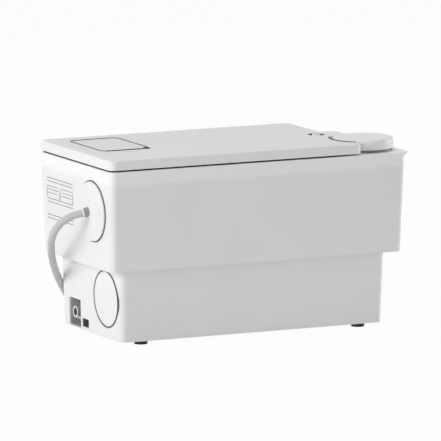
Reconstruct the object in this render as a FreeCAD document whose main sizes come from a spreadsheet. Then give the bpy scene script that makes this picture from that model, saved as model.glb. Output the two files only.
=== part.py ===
"""Small sewage lifting unit: a stepped tank with a pump, a lid and a discharge socket.

The frame is in millimetres. X runs along the tank, from the cable side to the discharge side,
-Y is the front and +Z is up. The origin is on the floor, under the middle of the unit.
"""
import FreeCAD, Part
import math
import os
import re

import Sketcher

Vector = FreeCAD.Vector
Rotation = FreeCAD.Rotation

doc = FreeCAD.newDocument("lifting_unit")

# Driving sizes: name, value in millimetres (or a plain ratio or a count), what it is.
SIZES = [
    ("tank_long", 325.6, "tank length over the rim"),
    ("tank_wide", 167.3, "tank width over the rim"),
    ("centre_shift", 3.0, "tank centre ahead of the origin, because the gland stands out behind"),
    ("rim_top", 176.5, "height of the tank rim"),
    ("rim_band", 8.5, "upright band under the rim"),
    ("step_up", 76.5, "height of the step under the wide upper tank"),
    ("foot_tall", 4.0, "height of the feet below the tank"),
    ("draft_long", 0.0268, "how much an end wall leans in per unit of height"),
    ("draft_wide", 0.0401, "how much a side wall leans in per unit of height"),
    ("step_in_long", 13.6, "how far the lower tank is set in at the ends"),
    ("step_in_wide", 9.7, "how far the lower tank is set in at the sides"),
    ("corner", 7.0, "radius of the upright corners"),
    ("wall", 3.0, "wall of the tank"),
    ("lip_out", 4.5, "how far the rim flares out at the discharge end"),
    ("lip_tall", 4.5, "height of that flare"),
    ("mouth_left", 11.0, "rim land from the left end to the service opening"),
    ("mouth_right", 75.0, "deck from the right end to the service opening"),
    ("mouth_side", 11.0, "rim land from a side to the service opening"),
    ("lid_gap", 1.8, "height of the gasket between rim and lid"),
    ("lid_tall", 9.8, "height of the lid"),
    ("lid_skin", 3.0, "thickness of the lid's top"),
    ("lid_rib", 6.0, "width of the lid's border under its top"),
    ("lid_end", 48.5, "from the right end of the tank to the lid's end"),
    ("lid_edge", 1.6, "rounding of the lid's top edge"),
    ("gasket_in", 2.0, "gasket set back from the lid's edge"),
    ("gasket_wide", 7.0, "width of the gasket"),
    ("cap_out", 30.5, "radius of the discharge cap"),
    ("cap_from_end", 28.8, "from the right end of the tank to the cap's axis"),
    ("cap_from_front", 38.9, "from the front of the tank to the cap's axis"),
    ("cap_gap", 3.5, "gap between cap and lid"),
    ("cap_rise", 1.0, "top of the cap above the top of the lid"),
    ("cap_skin", 3.2, "thickness of the cap's top"),
    ("cap_round", 2.6, "rounding of the cap's top edge"),
    ("collar_out", 29.4, "radius of the collar under the cap"),
    ("collar_tall", 2.5, "height of that collar"),
    ("outlet_bore", 20.1, "bore radius of the discharge socket"),
    ("outlet_wall", 2.9, "wall of the discharge socket below the deck"),
    ("neck_wall", 4.9, "wall of the discharge socket's neck in the cap"),
    ("outlet_deep", 33.0, "depth of the discharge socket"),
    ("outlet_stop", 4.0, "step at the bottom of the discharge socket"),
    ("fit", 0.3, "clearance between pieces that lift off each other"),
    ("flap_long", 51.6, "filter flap, size along X"),
    ("flap_wide", 81.0, "filter flap, size along Y"),
    ("flap_thick", 4.0, "thickness of the filter flap"),
    ("flap_gap", 1.2, "gap round the filter flap"),
    ("flap_left", 22.6, "from the left end of the tank to the filter flap"),
    ("flap_back", 21.9, "from the back of the tank to the filter flap"),
    ("flap_shelf", 3.5, "width of the shelf under the filter flap"),
    ("flap_corner", 7.0, "corner radius of the filter flap"),
    ("notch", 9.0, "finger notch at the flap's corner"),
    ("tray_deep", 20.0, "depth of the filter tray"),
    ("tray_wall", 1.8, "wall of the filter tray"),
    ("screw_from_end", 60.3, "from the right end of the tank to the lid screw"),
    ("screw_side", -3.25, "lid screw off the middle line"),
    ("screw_recess", 9.0, "radius of the recess round the lid screw"),
    ("screw_floor", 3.6, "thickness of the lid under the screw head"),
    ("screw_head", 6.5, "radius of the screw head"),
    ("screw_stem", 3.0, "radius of the screw stem"),
    ("screw_long", 17.0, "length of the screw stem"),
    ("cover_out", 29.6, "radius of the cable cover"),
    ("cover_gap", 0.7, "gap round the cable cover"),
    ("cover_side", -39.95, "cable cover off the middle line"),
    ("cover_up", 132.7, "height of the cable cover's axis"),
    ("cover_floor", 4.4, "depth of the cover's seat in the end wall"),
    ("cover_hole", 25.0, "radius of the hole behind the cable cover"),
    ("gland_out", 6.8, "radius of the cable gland at the cover"),
    ("gland_tip", 5.3, "radius of the cable gland at its tip"),
    ("gland_reach", 7.3, "how far the gland stands out of the cover"),
    ("cord_out", 3.75, "radius of the mains cord"),
    ("inlet_bore", 25.1, "bore radius of the side inlet"),
    ("inlet_deep", 30.0, "depth of the side inlet"),
    ("inlet_wall", 2.2, "wall of the side inlet"),
    ("inlet_side", -36.75, "side inlet off the middle line"),
    ("inlet_up", 43.7, "height of the side inlet's axis"),
    ("plug_out", 27.8, "radius of the inlet plug's face"),
    ("plug_gap", 0.7, "gap round the inlet plug's face"),
    ("plug_floor", 5.0, "depth of the plug's seat in the end wall"),
    ("plug_deep", 16.0, "length of the plug inside the bore"),
    ("plug_skin", 2.6, "wall of the inlet plug"),
    ("end_boss_deep", 9.0, "depth of the boss behind the cable cover, from the end of the rim"),
    ("seal_in", 7.0, "from the plug's seat to the inner side of the inlet seal"),
    ("seal_wide", 4.0, "width of the inlet seal"),
    ("seal_deep", 2.0, "depth of the inlet seal in its groove"),
    ("drain_side", 24.05, "near side of the drain pocket"),
    ("drain_wide", 26.7, "width of the drain pocket"),
    ("drain_tall", 28.0, "height of the drain pocket"),
    ("drain_sill", 1.6, "sill under the drain pocket"),
    ("drain_deep", 16.0, "depth of the drain pocket"),
    ("drain_axis_side", 37.95, "drain spigot off the middle line"),
    ("drain_axis_up", 19.8, "height of the drain spigot's axis"),
    ("drain_out", 6.0, "radius of the drain spigot"),
    ("drain_bore", 4.0, "bore radius of the drain spigot"),
    ("drain_reach", 14.0, "length of the drain spigot"),
    ("drain_blind", 2.0, "closed end of the drain spigot"),
    ("fixing_side", 5.75, "near side of the floor fixing pocket"),
    ("fixing_wide", 14.6, "width of the floor fixing pocket"),
    ("fixing_up", 7.7, "height of the floor fixing pocket's floor"),
    ("fixing_tall", 8.5, "height of the floor fixing pocket"),
    ("fixing_deep", 14.0, "depth of the floor fixing pocket"),
    ("slip", 0.1, "clearance of pipes and pins in their holes"),
    ("box_boss", 5.0, "radius of the bosses behind the control box"),
    ("box_stand", 3.0, "gap between end wall and control box"),
    ("box_long", 46.0, "control box, size along X"),
    ("box_wide", 54.0, "control box, size along Y"),
    ("box_tall", 52.0, "control box, height"),
    ("box_side", 5.75, "near side of the control box"),
    ("box_up", 98.0, "underside of the control box"),
    ("box_wall", 2.0, "wall of the control box"),
    ("box_lid", 3.0, "thickness of the control box's cover"),
    ("board_thick", 1.6, "thickness of the circuit board"),
    ("board_stand", 6.0, "circuit board above the box floor"),
    ("can_out", 9.0, "radius of the run capacitor"),
    ("can_long", 38.0, "length of the run capacitor"),
    ("pump_from_cap", 99.75, "from the pump axis to the cap's axis along X"),
    ("pump_beside_cap", 35.0, "from the cap's axis to the pump axis along Y"),
    ("pump_x", "=centre_shift + tank_long / 2 - cap_from_end - pump_from_cap", "pump axis along X"),
    ("pump_y", "=cap_from_front - tank_wide / 2 + pump_beside_cap", "pump axis along Y"),
    ("pump_boss", 4.0, "radius of the bosses under the pump"),
    ("pump_boss_at", 40.0, "from the pump axis to those bosses"),
    ("strainer_leg", 6.0, "height of the suction gap under the strainer"),
    ("strainer_plate", 3.0, "thickness of the strainer plate"),
    ("suction_bore", 14.0, "radius of the pump's suction opening"),
    ("volute_out", 48.0, "outside radius of the pump casing"),
    ("volute_in", 41.0, "inside radius of the pump casing"),
    ("volute_tall", 28.0, "height of the pump casing"),
    ("volute_floor", 3.0, "thickness of the pump casing's floor"),
    ("pipe_out", 12.0, "outside radius of the discharge pipe"),
    ("pipe_in", 10.0, "bore radius of the discharge pipe"),
    ("pipe_reach", 54.0, "from the pump axis to the end of the casing's spigot"),
    ("sleeve_wall", 2.4, "wall of a pipe sleeve"),
    ("sleeve_long", 11.0, "length of a pipe sleeve"),
    ("riser_from_cap", 8.75, "from the riser's axis to the cap's axis along X"),
    ("seal_plate", 6.0, "thickness of the plate over the pump casing"),
    ("bearing_out", 11.0, "outside radius of a bearing"),
    ("bearing_tall", 7.0, "width of a bearing"),
    ("bearing_boss", 3.5, "wall round a bearing"),
    ("shaft_out", 4.0, "radius of the shaft"),
    ("shaft_slip", 0.03, "running clearance of the shaft"),
    ("face_seal", 7.5, "outside radius of the shaft seal"),
    ("motor_out", 40.0, "outside radius of the motor housing"),
    ("motor_wall", 3.0, "wall of the motor housing"),
    ("motor_tall", 98.0, "height of the motor housing"),
    ("motor_flange", 4.0, "thickness of the motor housing's flange"),
    ("bolt_at", 44.5, "from the pump axis to its screws"),
    ("bolt_stem", 2.0, "radius of the pump's screws"),
    ("bolt_head", 3.4, "radius of the pump's screw heads"),
    ("bolt_long", 24.0, "length of the pump's screws"),
    ("stator_in", 21.0, "bore radius of the stator"),
    ("stator_tall", 50.0, "height of the stator"),
    ("stator_up", 22.0, "stator above the seal plate"),
    ("coil_tall", 9.0, "height of the winding heads"),
    ("coil_in", 24.0, "inside radius of the winding heads"),
    ("coil_out", 34.0, "outside radius of the winding heads"),
    ("rotor_out", 20.5, "radius of the rotor"),
    ("impeller_out", 34.0, "radius of the impeller"),
    ("impeller_hub", 8.0, "radius of the impeller's hub"),
    ("impeller_plate", 3.0, "thickness of the impeller's disc"),
    ("vane_tall", 9.0, "height of the impeller's vanes"),
    ("vane_thick", 3.0, "thickness of the impeller's vanes"),
    ("vane_gap", 3.0, "gap under the vanes"),
    ("valve_out", 20.0, "outside radius of the check valve"),
    ("valve_in", 17.0, "inside radius of the check valve"),
    ("valve_seat", 10.0, "radius of the check valve's opening"),
    ("valve_floor", 4.0, "thickness of the check valve's seat"),
    ("valve_tall", 32.0, "height of the check valve above its seat face"),
    ("valve_disc", 13.0, "radius of the check valve's flap"),
    ("valve_flap", 3.0, "thickness of the check valve's flap"),
    ("valve_pin", 1.2, "radius of the check valve's pin"),
    ("valve_pin_at", 13.2, "from the check valve's axis to its pin"),
    ("float_pin_reach", 62.0, "from the pump axis to the float pivot"),
    ("float_pin_x", "=pump_x - float_pin_reach", "float pivot along X"),
    ("float_pin_up", 92.0, "height of the float pivot"),
    ("float_beside", 29.5, "from the pump axis to the float's middle along Y"),
    ("float_side", "=pump_y + float_beside", "float off the middle line"),
    ("float_out", 16.0, "radius of the float"),
    ("float_wide", 30.0, "width of the float"),
    ("float_arm", 58.0, "float arm, from pivot to the float's middle"),
    ("float_rod", 2.5, "radius of the float arm"),
    ("float_pin", 2.0, "radius of the float's pin"),
    ("float_hub", 5.5, "radius of the float arm's hub"),
    ("float_hub_wide", 9.0, "width of the float arm's hub"),
    ("switch_tall", 26.0, "height of the level switch"),
    ("gland_stem", 5.6, "radius of the gland's stem"),
    ("gland_hub", 2.0, "how far the gland's hub stands out of the end of the rim"),
    ("cover_lean", 0.75, "how far the cover lies inside the end of the rim at the gland"),
    ("nut_tall", 4.0, "thickness of the gland's locknut"),
    ("valve_hub", 2.4, "radius of the check valve flap's hub"),
    ("float_drop", 43.6, "angle in degrees below level at which the float arm hangs"),
    ("switch_wall", 2.0, "wall of the level switch round its pin"),
    ("turn_pitch", 8.2, "from one turn of the put-away cord to the next"),
    ("layer_rise", 8.2, "from one layer of the put-away cord to the next"),
    ("coil_turns", 2.0, "turns in each of the coil's two layers"),
    ("coil_middle", 41.0, "radius of the coil at the middle of its turns"),
    ("tail_reach", 48.0, "from the coil to the plug"),
    ("tail_level", 14.4, "level stretch at each end of the tail"),
    ("plug_round", 18.5, "radius of the mains plug's face"),
    ("plug_grip", 7.0, "radius of the mains plug where the cord enters"),
    ("plug_neck", 15.2, "radius of the mains plug where its grip ends"),
    ("plug_grip_long", 20.0, "length of the mains plug's grip"),
    ("plug_face_long", 15.2, "length of the mains plug's round face"),
    ("plug_tall", 40.0, "length of the mains plug"),
    ("pin_out", 2.4, "radius of a plug pin"),
    ("pin_long", 19.0, "length of a plug pin"),
    ("pin_apart", 19.0, "distance between the plug pins"),
    ("foot_out", 6.6, "radius of a foot"),
    ("foot_long", 120.0, "from the tank's middle to a foot along X"),
    ("foot_ahead", 2.6, "the feet's middle ahead of the tank's middle"),
    ("foot_wide", 56.55, "from the tank's middle to a foot along Y"),
]

sheet = doc.addObject("Spreadsheet::Sheet", "Sizes")
for row, (alias, value, note) in enumerate(SIZES, start=1):
    sheet.set(f"A{row}", alias)
    sheet.set(f"B{row}", str(value))
    sheet.set(f"C{row}", note)
    sheet.setAlias(f"B{row}", alias)
doc.recompute()

ALIASES = {alias for alias, value, note in SIZES}


def formula(text):
    """An expression of sheet cells, written with their plain names."""
    return re.sub(
        r"\b[a-z_]+\b", lambda found: "Sizes." + found[0] if found[0] in ALIASES else found[0], text
    )


def size(alias):
    return float(sheet.get(alias))


def value_of(text):
    """The value in millimetres of an expression of sheet cells."""
    return float(sheet.evalExpression(formula(str(text))))


def bind(thing, **cells):
    """Binds properties to sheet cells; two underscores stand for a point in the property's path."""
    for path, text in cells.items():
        thing.setExpression(path.replace("__", "."), formula(str(text)))


def place(thing, at, turn=None):
    if turn:
        thing.Placement.Rotation = turn
    bind(thing, Placement__Base__x=at[0], Placement__Base__y=at[1], Placement__Base__z=at[2])
    return thing


# Turns that lay an upright cylinder along another axis.
ALONG_X = Rotation(Vector(0, 1, 0), 90)
ALONG_MINUS_X = Rotation(Vector(0, 1, 0), -90)
ALONG_Y = Rotation(Vector(1, 0, 0), -90)


def cylinder(name, radius, height, at, turn=None):
    thing = doc.addObject("Part::Cylinder", name)
    bind(thing, Radius=radius, Height=height)
    return place(thing, at, turn)


def cone(name, bottom, top, height, at, turn=None):
    thing = doc.addObject("Part::Cone", name)
    bind(thing, Radius1=bottom, Radius2=top, Height=height)
    return place(thing, at, turn)


def box(name, length, width, height, at, turn=None):
    """A box from its low corner."""
    thing = doc.addObject("Part::Box", name)
    bind(thing, Length=length, Width=width, Height=height)
    return place(thing, at, turn)


def fuse(name, *parts):
    thing = doc.addObject("Part::MultiFuse", name)
    thing.Shapes = list(parts)
    thing.Refine = False
    return thing


def cut(name, base, *tools):
    thing = doc.addObject("Part::Cut", name)
    thing.Base = base
    thing.Tool = tools[0] if len(tools) == 1 else fuse(name + "_tools", *tools)
    thing.Refine = False
    return thing


def common(name, *parts):
    thing = doc.addObject("Part::MultiCommon", name)
    thing.Shapes = list(parts)
    thing.Refine = False
    return thing


def tube(name, outer, inner, height, at, turn=None):
    """A round tube from its low end along its axis."""
    return cut(
        name,
        cylinder(name + "_outside", outer, height, at, turn),
        cylinder(name + "_bore", inner, height, at, turn),
    )


def outline(body, name, length, width, radius, height, centre=("0", "0")):
    """A level sketch of a rectangle with round corners, on the body's own base plane."""
    base = next(plane for plane in body.Origin.OriginFeatures if plane.Role == "XY_Plane")
    sketch = body.newObject("Sketcher::SketchObject", name)
    sketch.AttachmentSupport = [(base, "")]
    sketch.MapMode = "FlatFace"
    half, bend = 50.0, 5.0
    inner = half - bend
    sides = [
        ((-inner, -half), (inner, -half)),
        ((half, -inner), (half, inner)),
        ((inner, half), (-inner, half)),
        ((-half, inner), (-half, -inner)),
    ]
    for start, end in sides:
        sketch.addGeometry(Part.LineSegment(Vector(*start, 0), Vector(*end, 0)), False)
    corners = [(inner, -inner, 270), (inner, inner, 0), (-inner, inner, 90), (-inner, -inner, 180)]
    for x, y, angle in corners:
        circle = Part.Circle(Vector(x, y, 0), Vector(0, 0, 1), bend)
        arc = Part.ArcOfCircle(circle, math.radians(angle), math.radians(angle + 90))
        sketch.addGeometry(arc, False)
    for side in range(4):
        arc = side + 4
        following = (side + 1) % 4
        sketch.addConstraint(Sketcher.Constraint("Tangent", side, 2, arc, 1))
        sketch.addConstraint(Sketcher.Constraint("Tangent", arc, 2, following, 1))
    for side, way in enumerate(["Horizontal", "Vertical", "Horizontal", "Vertical"]):
        sketch.addConstraint(Sketcher.Constraint(way, side))
    for arc in (5, 6, 7):
        sketch.addConstraint(Sketcher.Constraint("Equal", 4, arc))
    dimensions = [
        ("bend", radius, Sketcher.Constraint("Radius", 4, bend)),
        ("length", length, Sketcher.Constraint("DistanceX", 3, 1, 1, 1, 2 * half)),
        ("width", width, Sketcher.Constraint("DistanceY", 0, 1, 2, 1, 2 * half)),
        ("left", f"({length}) / 2", Sketcher.Constraint("DistanceX", 3, 1, -1, 1, half)),
        ("front", f"({width}) / 2", Sketcher.Constraint("DistanceY", 0, 1, -1, 1, half)),
    ]
    for label, text, constraint in dimensions:
        index = sketch.addConstraint(constraint)
        sketch.renameConstraint(index, label)
        sketch.setExpression(f"Constraints.{label}", formula(text))
    bind(
        sketch,
        AttachmentOffset__Base__x=centre[0],
        AttachmentOffset__Base__y=centre[1],
        AttachmentOffset__Base__z=height,
    )
    return sketch


def top_face(feature):
    """The name of a feature's highest level face."""
    faces = feature.Shape.Faces
    index = max(range(len(faces)), key=lambda number: faces[number].CenterOfMass.z)
    return f"Face{index + 1}"


def plate(name, length, width, radius, thick, at, rounding=None):
    """A level plate with round upright corners, centred on a point of its underside."""
    body = doc.addObject("PartDesign::Body", name)
    sketch = outline(body, name + "_outline", length, width, radius, at[2], (at[0], at[1]))
    pad = body.newObject("PartDesign::Pad", name + "_pad")
    pad.Profile = sketch
    bind(pad, Length=thick)
    if rounding:
        doc.recompute()
        fillet = body.newObject("PartDesign::Fillet", name + "_rounding")
        fillet.Base = (pad, [top_face(pad)])
        bind(fillet, Radius=rounding)
    return body


def block(name, levels, radius):
    """A drafted block: a straight loft through each pair of levels (length, width, height, middle)."""
    body = doc.addObject("PartDesign::Body", name)
    for index, pair in enumerate(levels):
        sketches = [
            outline(body, f"{name}_outline_{index}_{end}", length, width, radius, height, (middle, "0"))
            for end, (length, width, height, middle) in enumerate(pair)
        ]
        loft = body.newObject("PartDesign::AdditiveLoft", f"{name}_loft_{index}")
        loft.Profile = sketches[0]
        loft.Sections = [sketches[1]]
        loft.Ruled = True
        loft.Refine = False
    return body


# The tank's outer form. Each level is (length, width, height, middle along X).
BAND_LOW = "rim_top - rim_band"


def level(height, inset="0", set_in=False):
    """Length, width, height and middle of the tank's outside at a height, less an inset on every side."""
    drop = f"max(0; ({BAND_LOW}) - ({height}))"
    in_long = " + step_in_long" if set_in else ""
    in_wide = " + step_in_wide" if set_in else ""
    length = f"tank_long - 2 * (draft_long * {drop}{in_long} + {inset})"
    width = f"tank_wide - 2 * (draft_wide * {drop}{in_wide} + {inset})"
    return length, width, height, "centre_shift"


def tank_form(name, inset, bottom, shelf, top, radius):
    """The stepped block: lower tank, upper tank and upright band."""
    return block(name, tank_levels(inset, bottom, shelf, top), radius)


def tank_levels(inset, bottom, shelf, top):
    return [
        (level(bottom, inset, True), level(shelf, inset, True)),
        (level(shelf, inset), level(BAND_LOW, inset)),
        (level(BAND_LOW, inset), level(top, inset)),
    ]


LEFT = "centre_shift - tank_long / 2"
RIGHT = "centre_shift + tank_long / 2"
FRONT = "-tank_wide / 2"
CAP_X = f"{RIGHT} - cap_from_end"
CAP_Y = f"{FRONT} + cap_from_front"
SCREW_X = f"{RIGHT} - screw_from_end"
LID_BOTTOM = "rim_top + lid_gap"
LID_TOP = "rim_top + lid_gap + lid_tall"

# The mouth in the deck, from its own borders.
MOUTH_LONG = "tank_long - mouth_left - mouth_right"
MOUTH_WIDE = "tank_wide - 2 * mouth_side"
MOUTH_X = f"{LEFT} + mouth_left + ({MOUTH_LONG}) / 2"

# The lower end walls where they meet the step, and what is set into the left one.
SET_IN = "step_in_long + draft_long * (rim_top - rim_band - step_up)"
LOWER_LEFT = f"{LEFT} + {SET_IN}"
LOWER_RIGHT = f"{RIGHT} - ({SET_IN})"
PLUG_SEAT = f"{LOWER_LEFT} + plug_floor"
INLET_INNER = f"{PLUG_SEAT} + inlet_deep"
SEAL_INNER = f"{PLUG_SEAT} + seal_in"

# The control box stands off the left end wall on four bosses; places are (y, z).
BOX_LOW = f"{LEFT} + draft_long * (rim_top - rim_band - box_up) + wall + box_stand"
BOX_BOSSES = [
    (f"box_side + {across} * box_wide", f"box_up + {up} * box_tall")
    for across in (0.15, 0.85)
    for up in (0.15, 0.85)
]
PUMP_BOSS_ANGLES = (30, 150, 270)
COVER_SEAT = f"{LEFT} + cover_floor"
COVER_BACK = f"{LEFT} + end_boss_deep"
INLET_BACK = f"{LOWER_LEFT} + end_boss_deep"

# The discharge socket, the check valve under it and the pump, as heights.
SOCKET_OUT = "outlet_bore + outlet_wall"
NECK_TOP = f"{LID_TOP} - cap_skin - fit"
VALVE_TOP = f"{NECK_TOP} - outlet_deep - outlet_stop"
SEAT_UP = f"{VALVE_TOP} - valve_tall"
CASING_LOW = "foot_tall + wall + strainer_leg + strainer_plate"
CASING_FLOOR = f"{CASING_LOW} + volute_floor"
CASING_TOP = f"{CASING_LOW} + volute_tall"
PIPE_UP = f"({CASING_FLOOR} + {CASING_TOP}) / 2"
PLATE_TOP = f"{CASING_TOP} + seal_plate"
HOUSING_TOP = f"{PLATE_TOP} + motor_tall"

# The inner leads, by the middle of each hole that they pass.
SUPPLY_X = f"{BOX_LOW} + 0.6 * box_long"
LEAD_Y = "box_side + 0.4 * box_wide"
LEAD_UP = f"{HOUSING_TOP} - motor_wall - bearing_tall - cord_out - wall"

# The boot of the gland leans back and down, along the cord's first run.
BOOT_WAY = Vector(-0.92, 0.33, -0.21)
BOOT_TURN = Rotation(Vector(0, 0, 1), BOOT_WAY)


def round_the_pump(radius, degrees, across="0"):
    """A place at a radius and an angle about the pump's axis, shifted across that direction."""
    cosine = f"({math.cos(math.radians(degrees)):.9f})"
    sine = f"({math.sin(math.radians(degrees)):.9f})"
    return (
        f"pump_x + ({radius}) * {cosine} - ({across}) * {sine}",
        f"pump_y + ({radius}) * {sine} + ({across}) * {cosine}",
    )


def make_outside():
    """The tank's outside, whose rim flares out at the discharge end over its last few millimetres."""
    lip_low = "rim_top - lip_tall"
    levels = tank_levels("0", "foot_tall", "step_up", lip_low)
    flare = ("tank_long + lip_out", "tank_wide", "rim_top", "centre_shift + lip_out / 2")
    return block("tank_outside", levels + [(level(lip_low), flare)], "corner")


def make_tank(form):
    """One moulding: walls and step, deck with the discharge hole, side inlet and cable opening."""
    hollow = tank_form(
        "tank_hollow", "wall", "foot_tall + wall", "step_up + wall", "rim_top - wall", "corner - wall"
    )
    mouth = plate(
        "tank_mouth", MOUTH_LONG, MOUTH_WIDE, "corner", "2 * wall", (MOUTH_X, "0", "rim_top - 1.5 * wall")
    )
    shell = cut("tank_shell", form, hollow, mouth)
    cover = ("cover_side", "cover_up")
    inlet = ("inlet_side", "inlet_up")
    pocket_wide = "drain_wide + 2 * wall"
    fixing = ("fixing_deep + wall", "fixing_wide + 2 * wall", "fixing_tall + 2 * wall")
    fixing_corner = ("fixing_side - wall", "fixing_up - wall")
    bosses = [
        cylinder(
            "cover_boss",
            "cover_out + cover_gap + wall",
            "end_boss_deep",
            (COVER_BACK, *cover),
            ALONG_MINUS_X,
        ),
        cylinder(
            "inlet_ring", "plug_out + plug_gap + wall", "end_boss_deep", (INLET_BACK, *inlet), ALONG_MINUS_X
        ),
        cylinder(
            "inlet_tube", "inlet_bore + inlet_wall", "inlet_deep", (INLET_INNER, *inlet), ALONG_MINUS_X
        ),
        box(
            "drain_walls",
            "drain_deep + wall",
            pocket_wide,
            "drain_sill + drain_tall + wall",
            (LOWER_LEFT, "drain_side - wall", "foot_tall"),
        ),
        box("fixing_walls", *fixing, (LOWER_LEFT, *fixing_corner)),
        box("far_fixing_walls", *fixing, (f"{LOWER_RIGHT} - fixing_deep - wall", *fixing_corner)),
        cylinder(
            "screw_boss",
            "screw_stem + fit + wall",
            "screw_long",
            (SCREW_X, "screw_side", "rim_top - screw_long"),
        ),
    ]
    for index, (side, up) in enumerate(BOX_BOSSES):
        bosses.append(
            cylinder(
                f"box_boss_{index}",
                "box_boss",
                "2 * (box_stand + wall)",
                (BOX_LOW, side, up),
                ALONG_MINUS_X,
            ),
        )
    for index, angle in enumerate(PUMP_BOSS_ANGLES):
        at = (*round_the_pump("pump_boss_at", angle), "foot_tall + wall")
        bosses.append(cylinder(f"pump_boss_{index}", "pump_boss", "strainer_leg", at))
    trimmed = common("tank_trimmed", fuse("tank_bosses", shell, *bosses), form)
    openings = [
        cylinder("outlet_hole", f"{SOCKET_OUT} + slip", "3 * wall", (CAP_X, CAP_Y, "rim_top - 2 * wall")),
        cylinder(
            "screw_hole",
            "screw_stem + fit",
            "screw_long + wall",
            (SCREW_X, "screw_side", "rim_top - screw_long"),
        ),
        cylinder(
            "cover_seat", "cover_out + cover_gap", "cover_floor + wall", (COVER_SEAT, *cover), ALONG_MINUS_X
        ),
        cylinder(
            "cover_opening",
            "cover_hole",
            "end_boss_deep + wall",
            (f"{COVER_BACK} + wall", *cover),
            ALONG_MINUS_X,
        ),
        cylinder(
            "plug_seat", "plug_out + plug_gap", "plug_floor + wall", (PLUG_SEAT, *inlet), ALONG_MINUS_X
        ),
        cylinder(
            "inlet_hole",
            "inlet_bore",
            "inlet_deep + 2 * wall",
            (f"{INLET_INNER} + wall", *inlet),
            ALONG_MINUS_X,
        ),
        cylinder("seal_groove", "inlet_bore + seal_deep", "seal_wide", (SEAL_INNER, *inlet), ALONG_MINUS_X),
        box(
            "drain_pocket",
            "drain_deep + wall",
            "drain_wide",
            "drain_tall",
            (f"{LOWER_LEFT} - wall", "drain_side", "foot_tall + drain_sill"),
        ),
        box(
            "fixing_pocket",
            "fixing_deep + wall",
            "fixing_wide",
            "fixing_tall",
            (f"{LOWER_LEFT} - wall", "fixing_side", "fixing_up"),
        ),
        box(
            "far_fixing_pocket",
            "fixing_deep + wall",
            "fixing_wide",
            "fixing_tall",
            (f"{LOWER_RIGHT} - fixing_deep", "fixing_side", "fixing_up"),
        ),
    ]
    return cut("tank", trimmed, *openings)


def make_gasket():
    """A flat rubber ring between the rim and the lid."""
    outer = plate(
        "gasket_outside",
        f"{MOUTH_LONG} + 2 * (mouth_left - gasket_in)",
        f"{MOUTH_WIDE} + 2 * (mouth_side - gasket_in)",
        "corner",
        "lid_gap",
        (MOUTH_X, "0", "rim_top"),
    )
    inner = plate(
        "gasket_inside",
        f"{MOUTH_LONG} + 2 * (mouth_left - gasket_in - gasket_wide)",
        f"{MOUTH_WIDE} + 2 * (mouth_side - gasket_in - gasket_wide)",
        "corner",
        "lid_gap",
        (MOUTH_X, "0", "rim_top"),
    )
    return cut("lid_gasket", outer, inner)


FLAP_X = f"{LEFT} + flap_left + flap_long / 2"
FLAP_Y = "tank_wide / 2 - flap_back - flap_wide / 2"


def make_lid():
    """A ribbed cover with a round cut-out for the cap, a seat for the filter flap and a screw recess."""
    lid_long = "tank_long - lid_end"
    lid_x = f"{LEFT} + (tank_long - lid_end) / 2"
    top = plate(
        "lid_outside", lid_long, "tank_wide", "corner", "lid_tall", (lid_x, "0", LID_BOTTOM), "lid_edge"
    )
    hollow = plate("lid_hollow", f"{lid_long} - 2 * lid_rib", "tank_wide - 2 * lid_rib", "corner",
                   "lid_tall - lid_skin", (lid_x, "0", LID_BOTTOM))
    solids = [
        cut("lid_shell", top, hollow),
        cylinder("lid_cap_rim", "cap_out + cap_gap + lid_skin", "lid_tall", (CAP_X, CAP_Y, LID_BOTTOM)),
        cylinder(
            "lid_screw_boss", "screw_recess + lid_skin", "lid_tall", (SCREW_X, "screw_side", LID_BOTTOM)
        ),
        plate(
            "lid_flap_frame",
            "flap_long + 2 * (flap_gap + lid_skin)",
            "flap_wide + 2 * (flap_gap + lid_skin)",
            "flap_corner",
            "lid_tall",
            (FLAP_X, FLAP_Y, LID_BOTTOM),
        ),
    ]
    body = common("lid_body", fuse("lid_solids", *solids), top)
    seat_up = f"{LID_TOP} - flap_thick"
    openings = [
        cylinder(
            "lid_cap_bay",
            "cap_out + cap_gap",
            "2 * lid_tall",
            (CAP_X, CAP_Y, f"{LID_BOTTOM} - lid_tall / 2"),
        ),
        plate(
            "lid_flap_seat",
            "flap_long + 2 * flap_gap",
            "flap_wide + 2 * flap_gap",
            "flap_corner + flap_gap",
            "2 * flap_thick",
            (FLAP_X, FLAP_Y, seat_up),
        ),
        box(
            "lid_notch",
            "notch",
            "notch",
            "2 * flap_thick",
            (
                f"{FLAP_X} + flap_long / 2 + flap_gap - notch",
                f"{FLAP_Y} - flap_wide / 2 - flap_gap",
                seat_up,
            ),
        ),
        plate(
            "lid_filter_hole",
            "flap_long - 2 * flap_shelf",
            "flap_wide - 2 * flap_shelf",
            "flap_corner",
            "2 * lid_tall",
            (FLAP_X, FLAP_Y, f"{LID_BOTTOM} - lid_tall / 2"),
        ),
        cylinder(
            "lid_recess", "screw_recess", "lid_tall", (SCREW_X, "screw_side", f"{LID_BOTTOM} + screw_floor")
        ),
        cylinder(
            "lid_screw_hole",
            "screw_stem + fit",
            "2 * lid_tall",
            (SCREW_X, "screw_side", f"{LID_BOTTOM} - lid_tall / 2"),
        ),
    ]
    return cut("lid", body, *openings)


def make_lid_screw():
    """A captive screw with a coin slot in its head."""
    head_up = f"{LID_BOTTOM} + screw_floor"
    head = cylinder("screw_head", "screw_head", "screw_head / 2", (SCREW_X, "screw_side", head_up))
    stem = cylinder(
        "screw_stem", "screw_stem", "screw_long", (SCREW_X, "screw_side", f"{head_up} - screw_long")
    )
    slot = box(
        "screw_slot",
        "2.4 * screw_head",
        "screw_stem / 2",
        "screw_stem",
        (f"{SCREW_X} - 1.2 * screw_head", "screw_side - screw_stem / 4", f"{head_up} + screw_head / 4"),
    )
    return cut("lid_screw", fuse("screw_blank", head, stem), slot)


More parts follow.
